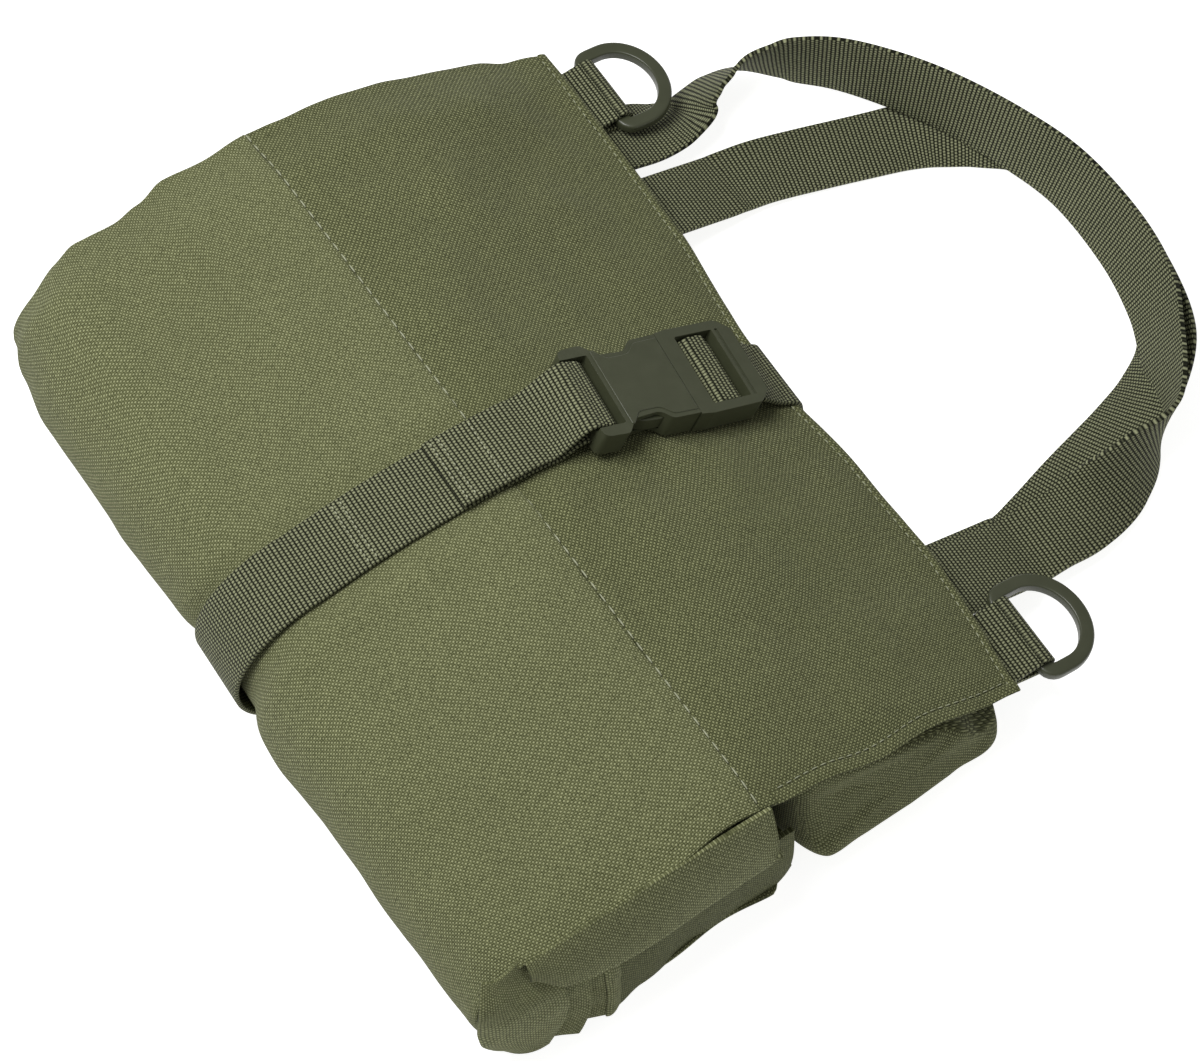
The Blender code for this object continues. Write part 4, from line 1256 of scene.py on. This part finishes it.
@dataclass(frozen=True)
class Buckle:
    """The side release buckle, in its own directions: u along the strap, v across, w up."""

    pack: Pack
    bar_x: float = 0.126
    slope: float = 0.44
    yaw: float = math.radians(-5)
    thick: float = 0.0100
    socket: float = 0.0340
    ear: float = 0.0170
    waist: float = 0.0118
    mouth: float = 0.0155
    bar: float = 0.0050
    slot: float = 0.0048
    slot_half: float = 0.0131
    wall: float = 0.0022
    plug: float = 0.0275
    plug_half: float = 0.0165
    plug_slot: float = 0.0054
    crossbar: float = 0.0036
    arm_width: float = 0.0034
    arm_length: float = 0.0215
    run: float = 0.0003
    clear: float = 0.0012
    first_slot: float = 0.0062

    @property
    def matrix(self) -> Matrix:
        """Where the buckle's own directions are in the frame."""
        pack = self.pack
        touch = pack.crest_x + pack.crest_round * self.slope / pack.slope
        level = pack.top(touch) + self.clear + self.slope * (touch - self.bar_x)
        turn = Matrix.Rotation(self.yaw, 4, "Z") @ Matrix.Rotation(math.atan(self.slope), 4, "Y")
        return Matrix.Translation(pack.at(self.bar_x, pack.strap_y(self.bar_x), level)) @ turn

    @property
    def across(self) -> Vector:
        """The direction across the strap at the buckle."""
        return self.matrix.to_3x3() @ Vector((0, 1, 0))

    def point(self, u: float, v: float, w: float) -> Vector:
        """A buckle point in the frame."""
        return self.matrix @ Vector((u, v, w))

    def dress(self, body: bpy.types.Object, name: str, node: str, rider: str, edge: float) -> bpy.types.Object:
        """Rounds a moulded solid's edges, puts it in place and gives it to its body."""
        shape = bmesh.new()
        shape.from_mesh(body.data)
        bpy.data.objects.remove(body)
        bmesh.ops.remove_doubles(shape, verts=shape.verts, dist=0.00002)
        bmesh.ops.dissolve_limit(shape, angle_limit=math.radians(1.0), verts=shape.verts, edges=shape.edges)
        bmesh.ops.transform(shape, matrix=self.matrix, verts=shape.verts)
        bmesh.ops.recalc_face_normals(shape, faces=shape.faces)
        piece = put(name, shape, Finish.BUCKLE_PLASTIC)
        soft = piece.modifiers.new("moulded_edges", "BEVEL")
        soft.width = edge
        soft.segments = 3
        soft.limit_method = "ANGLE"
        soft.angle_limit = math.radians(38)
        soft.harden_normals = True
        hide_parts(node)
        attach(piece, rider)
        return piece

    def build_socket(self) -> bpy.types.Object:
        """The half sewn to the pack: webbing bar, waist with open sides, and mouth."""
        start, length, thick = -self.bar / 2, self.socket, self.thick
        half = [
            (start, self.ear - 0.0004, 0.0030),
            (start + 0.0092, self.ear, 0.0022),
            (start + 0.0135, self.waist + 0.0006, 0.0030),
            (length - 0.0135, self.waist, 0.0040),
            (length - 0.0100, self.mouth - 0.0002, 0.0030),
            (length, self.mouth, 0.0),
        ]
        body = solid("socket", plate(both_sides(half), 0.0004, thick - 0.0004))
        inner = self.mouth - self.wall
        middle = thick / 2
        tools = [
            ("DIFFERENCE", plate(box_outline(self.bar / 2, self.bar / 2 + self.slot, -self.slot_half, self.slot_half,
                                             0.0008), -0.002, thick + 0.002)),
            ("DIFFERENCE", plate(box_outline(0.0115, length + 0.002, -inner, inner, 0.0), self.wall,
                                 thick - self.wall)),
        ]
        for floor, ceiling in ((-0.002, 0.0026), (thick - 0.0026, thick + 0.002)):
            relief = box_outline(start - 0.002, self.bar / 2 + 0.001, -self.slot_half, self.slot_half)
            tools.append(("DIFFERENCE", plate(relief, floor, ceiling)))
        carve(body, tools)
        return self.dress(body, "buckle_socket_moulding", "buckle_socket", "root", 0.00055)

    def build_pad(self) -> bpy.types.Object:
        """The socket's raised flat plate, which stands just proud of the frame round it."""
        length, top = self.socket, self.thick - 0.0004
        half = [
            (0.0088, self.slot_half + 0.0012, 0.0012),
            (0.0100, self.slot_half + 0.0010, 0.0012),
            (0.0134, self.waist - 0.0014, 0.0030),
            (length - 0.0128, self.waist - 0.0013, 0.0040),
            (length - 0.0090, self.mouth - 0.0016, 0.0030),
            (length - 0.0003, self.mouth - 0.0014, 0.0004),
        ]
        body = solid("pad", plate(both_sides(half), top - 0.0006, top + 0.00035))
        shape = bmesh.new()
        shape.from_mesh(body.data)
        bpy.data.objects.remove(body)
        bmesh.ops.transform(shape, matrix=self.matrix, verts=shape.verts)
        piece = put("buckle_socket_plate", shape, Finish.BUCKLE_PLASTIC)
        soft = piece.modifiers.new("moulded_edges", "BEVEL")
        soft.width = 0.0003
        soft.segments = 2
        soft.limit_method = "ANGLE"
        soft.harden_normals = True
        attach(piece, "root")
        return piece

    def build_plug(self) -> bpy.types.Object:
        """The free half: a ladder frame for the strap and a guide that enters the socket."""
        begin, thick, length = self.socket + self.run, self.thick, self.plug
        half = [
            (begin, self.mouth + 0.0004, 0.0),
            (begin + 0.0045, self.plug_half, 0.0030),
            (begin + length - 0.0042, self.plug_half - 0.0002, 0.0030),
            (begin + length, self.plug_half - 0.0042, 0.0018),
        ]
        body = solid("plug", plate(both_sides(half), 0.0006, thick - 0.0006))
        bar_low = self.first_slot + self.plug_slot
        end_low = bar_low + self.crossbar + self.plug_slot
        side = self.slot_half
        tools = []
        for low in (self.first_slot, bar_low + self.crossbar):
            hole = box_outline(begin + low, begin + low + self.plug_slot, -side, side, 0.0006)
            tools.append(("DIFFERENCE", plate(hole, -0.002, thick + 0.002)))
        over = box_outline(begin + bar_low - 0.001, begin + bar_low + self.crossbar + 0.001, -side, side)
        tools.append(("DIFFERENCE", plate(over, thick - 0.0032, thick + 0.002)))
        under = box_outline(begin + self.first_slot - 0.001, begin + length + 0.002, -side, side)
        tools.append(("DIFFERENCE", plate(under, -0.002, 0.0046)))
        dish = box_outline(begin + end_low + 0.0012, begin + end_low + 0.0022, -side, side)
        tools.append(("DIFFERENCE", plate(dish, thick - 0.0012, thick + 0.002)))
        guide = box_outline(begin - self.socket + 0.0145, begin + 0.002, -0.0026, 0.0026, 0.0008)
        tools.append(("UNION", plate(guide, self.wall + self.run, thick - self.wall - self.run)))
        carve(body, tools)
        return self.dress(body, "buckle_plug_moulding", "buckle_plug", "buckle_plug", 0.0006)

    def build_arm(self, far: bool) -> bpy.types.Object:
        """A sprung arm that ends in the ribbed pad that a thumb presses."""
        side = 1 if far else -1
        root = self.socket - 0.0009
        outer = self.mouth - self.wall - self.run
        inner = outer - self.arm_width
        corners = [
            (root, inner + 0.0009, 0.0),
            (root - self.arm_length + 0.0060, inner, 0.0020),
            (root - self.arm_length + 0.0008, inner + 0.0003, 0.0006),
            (root - self.arm_length, inner + 0.0018, 0.0006),
            (root - self.arm_length + 0.0042, outer - 0.0002, 0.0020),
            (root - self.arm_length + 0.0115, outer + 0.0002, 0.0008),
            (root - self.arm_length + 0.0126, outer - 0.0010, 0.0004),
            (root, outer - 0.0010, 0.0),
        ]
        outline = [(u, side * v) for u, v in rounded(corners)]
        name = "far" if far else "near"
        body = solid("arm", plate(outline, self.wall + self.run, self.thick - self.wall - self.run))
        return self.dress(body, f"latch_arm_{name}_moulding", f"latch_arm_{name}", f"latch_arm_{name}", 0.0005)

    def build_webbing(self) -> list[bpy.types.Object]:
        """The strap's run through the plug, and from there over the pack's edge to the base."""
        pack = self.pack
        shift = self.socket + self.run
        level = pack.gap + pack.web / 2
        over = self.thick - 0.0032 + level
        low = 0.0046 - level - 0.0002
        tail = low - pack.web - pack.gap - 0.0002
        bar_low = self.first_slot + self.plug_slot
        bar_high = bar_low + self.crossbar
        end_low = bar_high + self.plug_slot
        points = [
            (self.plug + 0.0010, low),
            (end_low + 0.0005, low),
            (end_low - 0.0012, low + 0.0005),
            (bar_high + 0.0030, over - 0.0021),
            (bar_high + 0.0012, over - 0.0003),
            (bar_high - 0.0002, over),
            (bar_low + 0.0002, over),
            (bar_low - 0.0012, over - 0.0003),
            (bar_low - 0.0026, over - 0.0021),
            (bar_low - 0.0031, low + 0.0010),
            (bar_low - 0.0022, tail + 0.0010),
            (bar_low - 0.0002, tail),
            (self.plug - 0.0010, tail),
        ]
        half = self.across * (pack.webbing / 2)
        line = smooth_line([self.point(shift + u, 0, w) for u, w in points], 8)
        adjuster = ribbon("adjuster_run", line, [half] * len(line), pack.web)
        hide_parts("adjuster_webbing")
        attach(adjuster, "buckle_plug")

        top = self.point(shift + self.plug + 0.0013, 0, low)
        end_y = pack.strap_y(pack.width)
        edge = pack.edge_x(end_y)
        height = pack.top(edge)
        hang = edge + pack.web / 2 + 0.0010
        points = [
            top,
            pack.at(edge - 0.0040, top.y - 0.0012, pack.top(edge - 0.004) + 0.0018),
            pack.at(edge + 0.0006, end_y + 0.0004, height + 0.0006),
            pack.at(hang, end_y, height - 0.0036),
            pack.at(hang + 0.0004, end_y, height - 0.0110),
            pack.at(hang + 0.0002, end_y, 0.0080),
            pack.at(hang - 0.0008, end_y, 0.0026),
            pack.at(hang - 0.0036, end_y, 0.0010),
        ]
        line = smooth_line(points, 10)
        flat = Vector((0, pack.webbing / 2, 0))
        halves = [half.lerp(flat, clamp(i / 14)) for i in range(len(line))]
        run = ribbon("edge_run", line, halves, pack.web)
        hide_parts("edge_webbing")
        bottom, high = pack.at(edge, end_y, 0.004), self.point(shift + self.plug, 0, low)
        tuple(bottom)
        tuple(high)
        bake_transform(run)
        return [adjuster, run]

    def build(self) -> list[bpy.types.Object]:
        """Makes the whole buckle and the webbing that runs through it."""
        return [
            self.build_socket(), self.build_pad(), self.build_plug(), self.build_arm(True), self.build_arm(False),
            *self.build_webbing(),
        ]


# ------------------------------------------------------------------ D-rings
@dataclass(frozen=True)
class RingAndTab:
    """A moulded D-ring in its folded webbing tab at the cover's free edge."""

    pack: Pack
    name: str
    middle_y: float
    wire: float = 0.0046
    play: float = 0.0008
    bar_out: float = 0.0105
    depth: float = 0.0215
    tilt: float = math.radians(8)
    stack_start: float = 0.016
    handle_fall: float = 0.33

    def stack_depth(self, layer: int) -> float:
        """How far under the cover's top the middle of a sewn-in layer of webbing lies."""
        pack = self.pack
        first = pack.sheet / 2 / pack.lean + (pack.sheet / 2 + pack.gap + pack.web / 2) / pack.lean
        return first + layer * (pack.web + pack.gap) / pack.lean

    @property
    def bar(self) -> Vector:
        """The middle of the ring's straight bar."""
        pack = self.pack
        lower = pack.top(pack.width) - self.stack_depth(2) - self.handle_fall * self.bar_out
        level = lower + pack.web + pack.gap + pack.web / 2 + pack.gap + self.wire / 2
        return pack.at(pack.width + self.bar_out, self.middle_y, level)

    def build_ring(self) -> bpy.types.Object:
        """The ring: a rounded flat section swept round a D."""
        half = self.pack.webbing / 2 + self.play + self.wire / 2
        side = self.depth - half * 0.86
        route = rounded([(side, -half, 0.0), (0, -half, 0.0042), (0, half, 0.0042), (side, half, 0.0)], 6)
        for i in range(1, 40):
            angle = math.pi / 2 - math.pi * i / 40
            route.append((side + (self.depth - side) * math.cos(angle), half * math.sin(angle)))
        section = rounded([(-0.5, -0.40, 0.15), (0.52, -0.40, 0.26), (0.52, 0.40, 0.26), (-0.5, 0.40, 0.15)], 4)
        turn = Matrix.Translation(self.bar) @ Matrix.Rotation(self.tilt, 4, "Y")
        shape = bmesh.new()
        rings = []
        count = len(route)
        for i, (u, v) in enumerate(route):
            ahead, behind = Vector(route[(i + 1) % count]), Vector(route[i - 1])
            run = (ahead - behind).normalized()
            out = Vector((-run.y, run.x))
            ring = [
                shape.verts.new(turn @ Vector((u + out.x * a * self.wire, v + out.y * a * self.wire, b * self.wire)))
                for a, b in section
            ]
            rings.append([shape.edges.new((ring[k - 1], ring[k])) for k in range(len(ring))])
        for a, b in zip(rings, rings[1:] + rings[:1]):
            bmesh.ops.bridge_loops(shape, edges=a + b)
        bmesh.ops.recalc_face_normals(shape, faces=shape.faces)
        piece = put(f"ring_{self.name}", shape, Finish.BUCKLE_PLASTIC)
        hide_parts(f"d_ring_{self.name}")
        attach(piece, f"d_ring_{self.name}")
        return piece

    def build_tab(self) -> bpy.types.Object:
        """The webbing folded round the ring's bar, with both plies sewn in under the edge."""
        pack, bar = self.pack, self.bar
        bar_x = pack.width + self.bar_out
        radius = self.wire / 2 + pack.gap + pack.web / 2
        edge = pack.width
        upper = [(x, pack.top(x) - self.stack_depth(0)) for x in spaced(edge - self.stack_start, edge, 6)]
        bend = []
        for i in range(11):
            angle = math.radians(115) - math.radians(205) * i / 10
            bend.append((bar_x + radius * math.cos(angle), bar.z + radius * math.sin(angle)))
        lower = [(x, pack.top(x) - self.stack_depth(1)) for x in spaced(edge, edge - self.stack_start, 6)]
        line = smooth_line([pack.at(x, self.middle_y, z) for x, z in upper + bend + lower], 6)
        piece = ribbon(f"ring_tab_{self.name}", line, [Vector((0, pack.webbing / 2, 0))] * len(line), pack.web)
        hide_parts(f"d_ring_tab_{self.name}")
        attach(piece, "root")
        return piece

    def build(self) -> list[bpy.types.Object]:
        """Makes the ring and its tab."""
        return [self.build_ring(), self.build_tab()]


# ------------------------------------------------------------------ carrying loops
UPPER_ROUTE = [
    # x beyond the bend, y, z, twist in degrees (0 flat, 90 on edge, 180 flat but turned
    # over), from the far end round
    (0.0012, 0.1020, 0.0086, 147),
    (0.0061, 0.1046, 0.0104, 138),
    (0.0105, 0.1058, 0.0118, 134),
    (0.0148, 0.1064, 0.0130, 130),
    (0.0210, 0.1062, 0.0142, 124),
    (0.0272, 0.1044, 0.0156, 114),
    (0.0342, 0.1002, 0.0168, 102),
    (0.0403, 0.0960, 0.0176, 91),
    (0.0512, 0.0868, 0.0180, 84),
    (0.0625, 0.0722, 0.0182, 79),
    (0.0730, 0.0548, 0.0182, 76),
    (0.0832, 0.0312, 0.0178, 72),
    (0.0898, 0.0078, 0.0174, 69),
    (0.0902, -0.0200, 0.0172, 64),
    (0.0859, -0.0421, 0.0172, 62),
    (0.0792, -0.0560, 0.0172, 66),
    (0.0712, -0.0700, 0.0172, 71),
    (0.0645, -0.0795, 0.0166, 79),
    (0.0580, -0.0842, 0.0160, 92),
    (0.0500, -0.0870, 0.0146, 112),
    (0.0416, -0.0892, 0.0124, 128),
    (0.0322, -0.0906, 0.0096, 150),
    (0.0200, -0.0918, 0.0080, 172),
    (0.0100, -0.0917, 0.0082, 180),
    (0.0012, -0.0915, None, 180),
]
LOWER_ROUTE = [
    (0.0012, 0.0735, None, 0),
    (0.0120, 0.0722, 0.0042, 0),
    (0.0280, 0.0684, 0.0028, 0),
    (0.0450, 0.0634, 0.0022, 0),
    (0.0600, 0.0585, 0.0024, 3),
    (0.0705, 0.0530, 0.0044, 16),
    (0.0800, 0.0440, 0.0086, 44),
    (0.0866, 0.0310, 0.0128, 74),
    (0.0926, 0.0080, 0.0134, 80),
    (0.0936, -0.0180, 0.0134, 77),
    (0.0902, -0.0400, 0.0130, 72),
    (0.0825, -0.0560, 0.0104, 50),
    (0.0705, -0.0655, 0.0084, 35),
    (0.0570, -0.0710, 0.0080, 30),
    (0.0430, -0.0752, 0.0072, 26),
    (0.0300, -0.0795, 0.0060, 16),
    (0.0150, -0.0846, 0.0050, 5),
    (0.0012, -0.0885, None, 0),
]


@dataclass(frozen=True)
class CarryingLoop:
    """A carrying loop in one length: sewn in, out to its bend, round on edge and back."""

    pack: Pack
    name: str
    route: Sequence[tuple[float, float, float | None, float]]
    layer: int
    rings: RingAndTab
    bend_x: float = 0.033

    def stub_height(self, x: float) -> float:
        """Height of the loop's sewn end beyond the free edge."""
        pack, rings = self.pack, self.rings
        return pack.edge_height - rings.stack_depth(self.layer) - rings.handle_fall * (x - pack.width)

    def stub(self, y: float, twist: float) -> list[tuple[Vector, float]]:
        """The sewn end's points from under the cover to the bend, flat until near the bend.

        Args:
            y: the end's place across the pack.
            twist: the twist that the loop has at the bend.

        Returns:
            Each point with its twist.
        """
        flat = math.pi if twist > math.pi / 2 else 0.0
        last = (flat + twist) / 2
        pack, edge = self.pack, self.pack.width
        places = [(x, pack.top(x) - self.rings.stack_depth(self.layer)) for x in
                  spaced(edge - self.rings.stack_start, edge, 4)]
        places += [(x, self.stub_height(x)) for x in spaced(edge + 0.006, edge + self.bend_x - 0.006, 3)]
        return [(pack.at(x, y, z), flat) for x, z in places[:-1]] + [(pack.at(places[-1][0], y, places[-1][1]), last)]

    def build(self) -> bpy.types.Object:
        """Makes the loop and blends its ends into the pack."""
        pack = self.pack
        axis = pack.width + self.bend_x
        level = self.stub_height(axis)
        middle = [
            (pack.at(axis + x, y, level if z is None else z), math.radians(twist)) for x, y, z, twist in self.route
        ]
        knots = (
            self.stub(self.route[0][1], middle[0][1]) + middle + self.stub(self.route[-1][1], middle[-1][1])[::-1])
        line = smooth_line([p for p, _ in knots], 8)
        twists = [p.x for p in smooth_line([(t, 0, 0) for _, t in knots], 8)]
        halves = []
        for i, twist in enumerate(twists):
            run = (line[min(i + 1, len(line) - 1)] - line[max(i - 1, 0)]).normalized()
            out = run.cross(Vector((0, 0, -1))).normalized()
            up = out.cross(run).normalized()
            if up.z < 0:
                up = -up
            halves.append((out * math.cos(twist) + up * math.sin(twist)) * (pack.webbing / 2))
        piece = ribbon(f"{self.name}_carrying_loop", line, halves, pack.web, 6)
        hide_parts(f"{self.name}_handle_loop", f"{self.name}_handle_end_far", f"{self.name}_handle_end_near")
        bend = pack.at(axis, 0, level)
        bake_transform(piece)
        return piece


# ------------------------------------------------------------------ studio
@dataclass(frozen=True)
class Studio:
    """A pale floor, soft light and the camera."""

    azimuth: float = math.radians(-31.9)
    elevation: float = math.radians(63.1)
    roll: float = math.radians(-0.86)
    distance: float = 1.080
    lens: float = 101.8
    target: tuple[float, float, float] = (-0.040, -0.010, 0.0)

    def place_camera(self) -> None:
        """Points the camera down at the pack."""
        a, e = self.azimuth, self.elevation
        back = Vector((math.sin(a) * math.cos(e), -math.cos(a) * math.cos(e), math.sin(e)))
        right = Vector((0, 0, 1)).cross(back).normalized()
        up = back.cross(right)
        right, up = (
            right * math.cos(self.roll) + up * math.sin(self.roll),
            up * math.cos(self.roll) - right * math.sin(self.roll),
        )
        data = bpy.data.cameras.new("camera")
        data.lens = self.lens
        data.sensor_width = 36.0
        data.clip_start = 0.01
        camera = bpy.data.objects.new("camera", data)
        turn = Matrix((right, up, back)).transposed().to_4x4()
        camera.matrix_world = Matrix.Translation(Vector(self.target) + back * self.distance) @ turn
        bpy.context.scene.collection.objects.link(camera)
        bpy.context.scene.camera = camera

    def light(self, name: str, place: tuple[float, float, float], size: float, watts: float) -> None:
        """Adds a square soft light that faces the pack."""
        data = bpy.data.lights.new(name, "AREA")
        data.shape = "SQUARE"
        data.size = size
        data.energy = watts
        lamp = bpy.data.objects.new(name, data)
        lamp.location = place
        lamp.rotation_euler = (-Vector(place)).to_track_quat("-Z", "Y").to_euler()
        bpy.context.scene.collection.objects.link(lamp)

    def lay_floor(self) -> None:
        """A wide pale floor, which also sends light up under the pack."""
        shape = bmesh.new()
        bmesh.ops.create_grid(shape, x_segments=1, y_segments=1, size=6.0)
        mesh = bpy.data.meshes.new("floor")
        shape.to_mesh(mesh)
        shape.free()
        material, shader = new_material("pale_floor")
        shader.inputs["Base Color"].default_value = linear("#c9c9c7")
        shader.inputs["Roughness"].default_value = 0.9
        shader.inputs["Emission Color"].default_value = linear("#ffffff")
        shader.inputs["Emission Strength"].default_value = 0.86
        mesh.materials.append(material)
        floor = bpy.data.objects.new("floor", mesh)
        bpy.context.scene.collection.objects.link(floor)

    def build(self) -> None:
        """Sets the stage."""
        self.lay_floor()
        self.place_camera()
        bpy.context.scene.view_settings.view_transform = "Standard"
        world = bpy.data.worlds.new("studio")
        bpy.context.scene.world = world
        world.use_nodes = True
        sky = world.node_tree.nodes["Background"]
        sky.inputs["Color"].default_value = linear("#ffffff")
        sky.inputs["Strength"].default_value = 0.30
        self.light("key", (-0.24, 0.14, 0.78), 0.36, 6.8)


def dress_frame(nodes: dict[str, bpy.types.Object]) -> None:
    """Gives the CAD nodes that stay their own finish."""
    for name in ("cross_webbing_far", "cross_webbing_near"):
        nodes[name].data.materials.clear()
        nodes[name].data.materials.append(material_of(Finish.WEBBING))


def main() -> None:
    """Builds every piece and reports it."""
    logging.basicConfig(level=logging.INFO, format="%(name)s: %(message)s")
    pack = Pack()
    Studio().build()
    made: list[bpy.types.Object] = []
    made += Filling(pack).build()
    made.append(OuterCloth(pack).build())
    cover = CoverCloth(pack)
    made += cover.build()
    made.append(Seam(pack, cover).build())

    def under_top(x: float) -> float:
        """Just under the outer cloth."""
        return pack.top(x) - 0.0026

    flaps = [
        EndFlap(
            "near_upper_tongue", "end_tongue_upper_near", -1, (0.0210, 0.1042), under_top,
            ((0.021, 0.0470), (0.030, 0.0395), (0.039, 0.0362), (0.056, 0.0346), (0.077, 0.0332), (0.104, 0.0326)),
            0.1374, ((0.021, 0.1400), (0.033, 0.1436), (0.056, 0.1450), (0.080, 0.1442), (0.104, 0.1430))),
        # the lower tongue takes the inner canvas, painted darker as shade under the upper tongue
        EndFlap(
            "near_lower_tongue", "end_tongue_lower_near", -1, (0.0462, 0.1118), lambda x: 0.0380,
            ((0.046, 0.0012), (0.106, 0.0012), (0.112, 0.0030)), 0.1392,
            ((0.046, 0.1456), (0.056, 0.1442), (0.078, 0.1402), (0.098, 0.1392), (0.112, 0.1386)),
            finish=Finish.INNER_CLOTH_PAINTED_SHADE),
        EndFlap(
            "far_tongue", "end_tongue_far", 1, (0.0440, 0.1100), lambda x: pack.top(x) - 0.0100,
            ((0.044, 0.0020), (0.110, 0.0020)), 0.1366, ((0.044, 0.1420), (0.110, 0.1415)), bulge=0.0025),
    ]
    made += [flap.build(pack) for flap in flaps]
    upright = EndLeaf(
        "near_upright_fold", (),
        ((0.0432, 0.1400, 0.0400), (0.0434, 0.1438, 0.0260), (0.0430, 0.1460, 0.0130), (0.0416, 0.1468, 0.0014)),
        ((0.0490, 0.1398, 0.0400), (0.0488, 0.1430, 0.0260), (0.0482, 0.1446, 0.0130), (0.0470, 0.1454, 0.0014)),
        0.0009).build(pack, cut=False)
    inner = EndLeaf(
        "near_inner_pleat", ("end_pleat_near_3",),
        ((0.0300, 0.1384, 0.0440), (0.0300, 0.1394, 0.0280), (0.0290, 0.1398, 0.0140), (0.0280, 0.1402, 0.0014)),
        ((0.0446, 0.1392, 0.0400), (0.0450, 0.1434, 0.0270), (0.0446, 0.1458, 0.0140), (0.0420, 0.1466, 0.0014)),
        0.0004).build(pack, [upright])
    middle = EndLeaf(
        "near_middle_pleat", ("end_pleat_near_2",),
        ((0.0220, 0.1384, 0.0480), (0.0220, 0.1390, 0.0300), (0.0200, 0.1392, 0.0150), (0.0180, 0.1396, 0.0020)),
        ((0.0390, 0.1396, 0.0420), (0.0384, 0.1440, 0.0300), (0.0368, 0.1466, 0.0150), (0.0320, 0.1474, 0.0020)),
        0.0006).build(pack)
    wrap = EndLeaf(
        "near_corner_wrap", ("end_pleat_near_1",),
        ((0.0080, 0.1345, 0.0530), (0.0040, 0.1392, 0.0450), (0.0026, 0.1400, 0.0360), (0.0034, 0.1402, 0.0180),
         (0.0110, 0.1404, 0.0030)),
        ((0.0210, 0.1345, 0.0540), (0.0262, 0.1392, 0.0440), (0.0300, 0.1446, 0.0350), (0.0284, 0.1458, 0.0180),
         (0.0228, 0.1450, 0.0020)), 0.0020).build(pack)
    made += [upright, inner, middle, wrap]
    made.append(EndPleats("far_pleats", ("end_pleat_far_1", "end_pleat_far_2", "end_pleat_far_3"), 1).build(pack))
    buckle = Buckle(pack)
    made += Strap(pack).build(buckle)
    made += buckle.build()
    far_ring, near_ring = RingAndTab(pack, "far", 0.118), RingAndTab(pack, "near", -0.119)
    made += far_ring.build() + near_ring.build()
    made.append(CarryingLoop(pack, "upper", UPPER_ROUTE, 2, far_ring).build())
    made.append(CarryingLoop(pack, "lower", LOWER_ROUTE, 3, far_ring).build())
    dress_frame(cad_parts)
    for piece in made:
        LOG.info("made %s", piece.name)


if __name__ == "__main__":
    main()
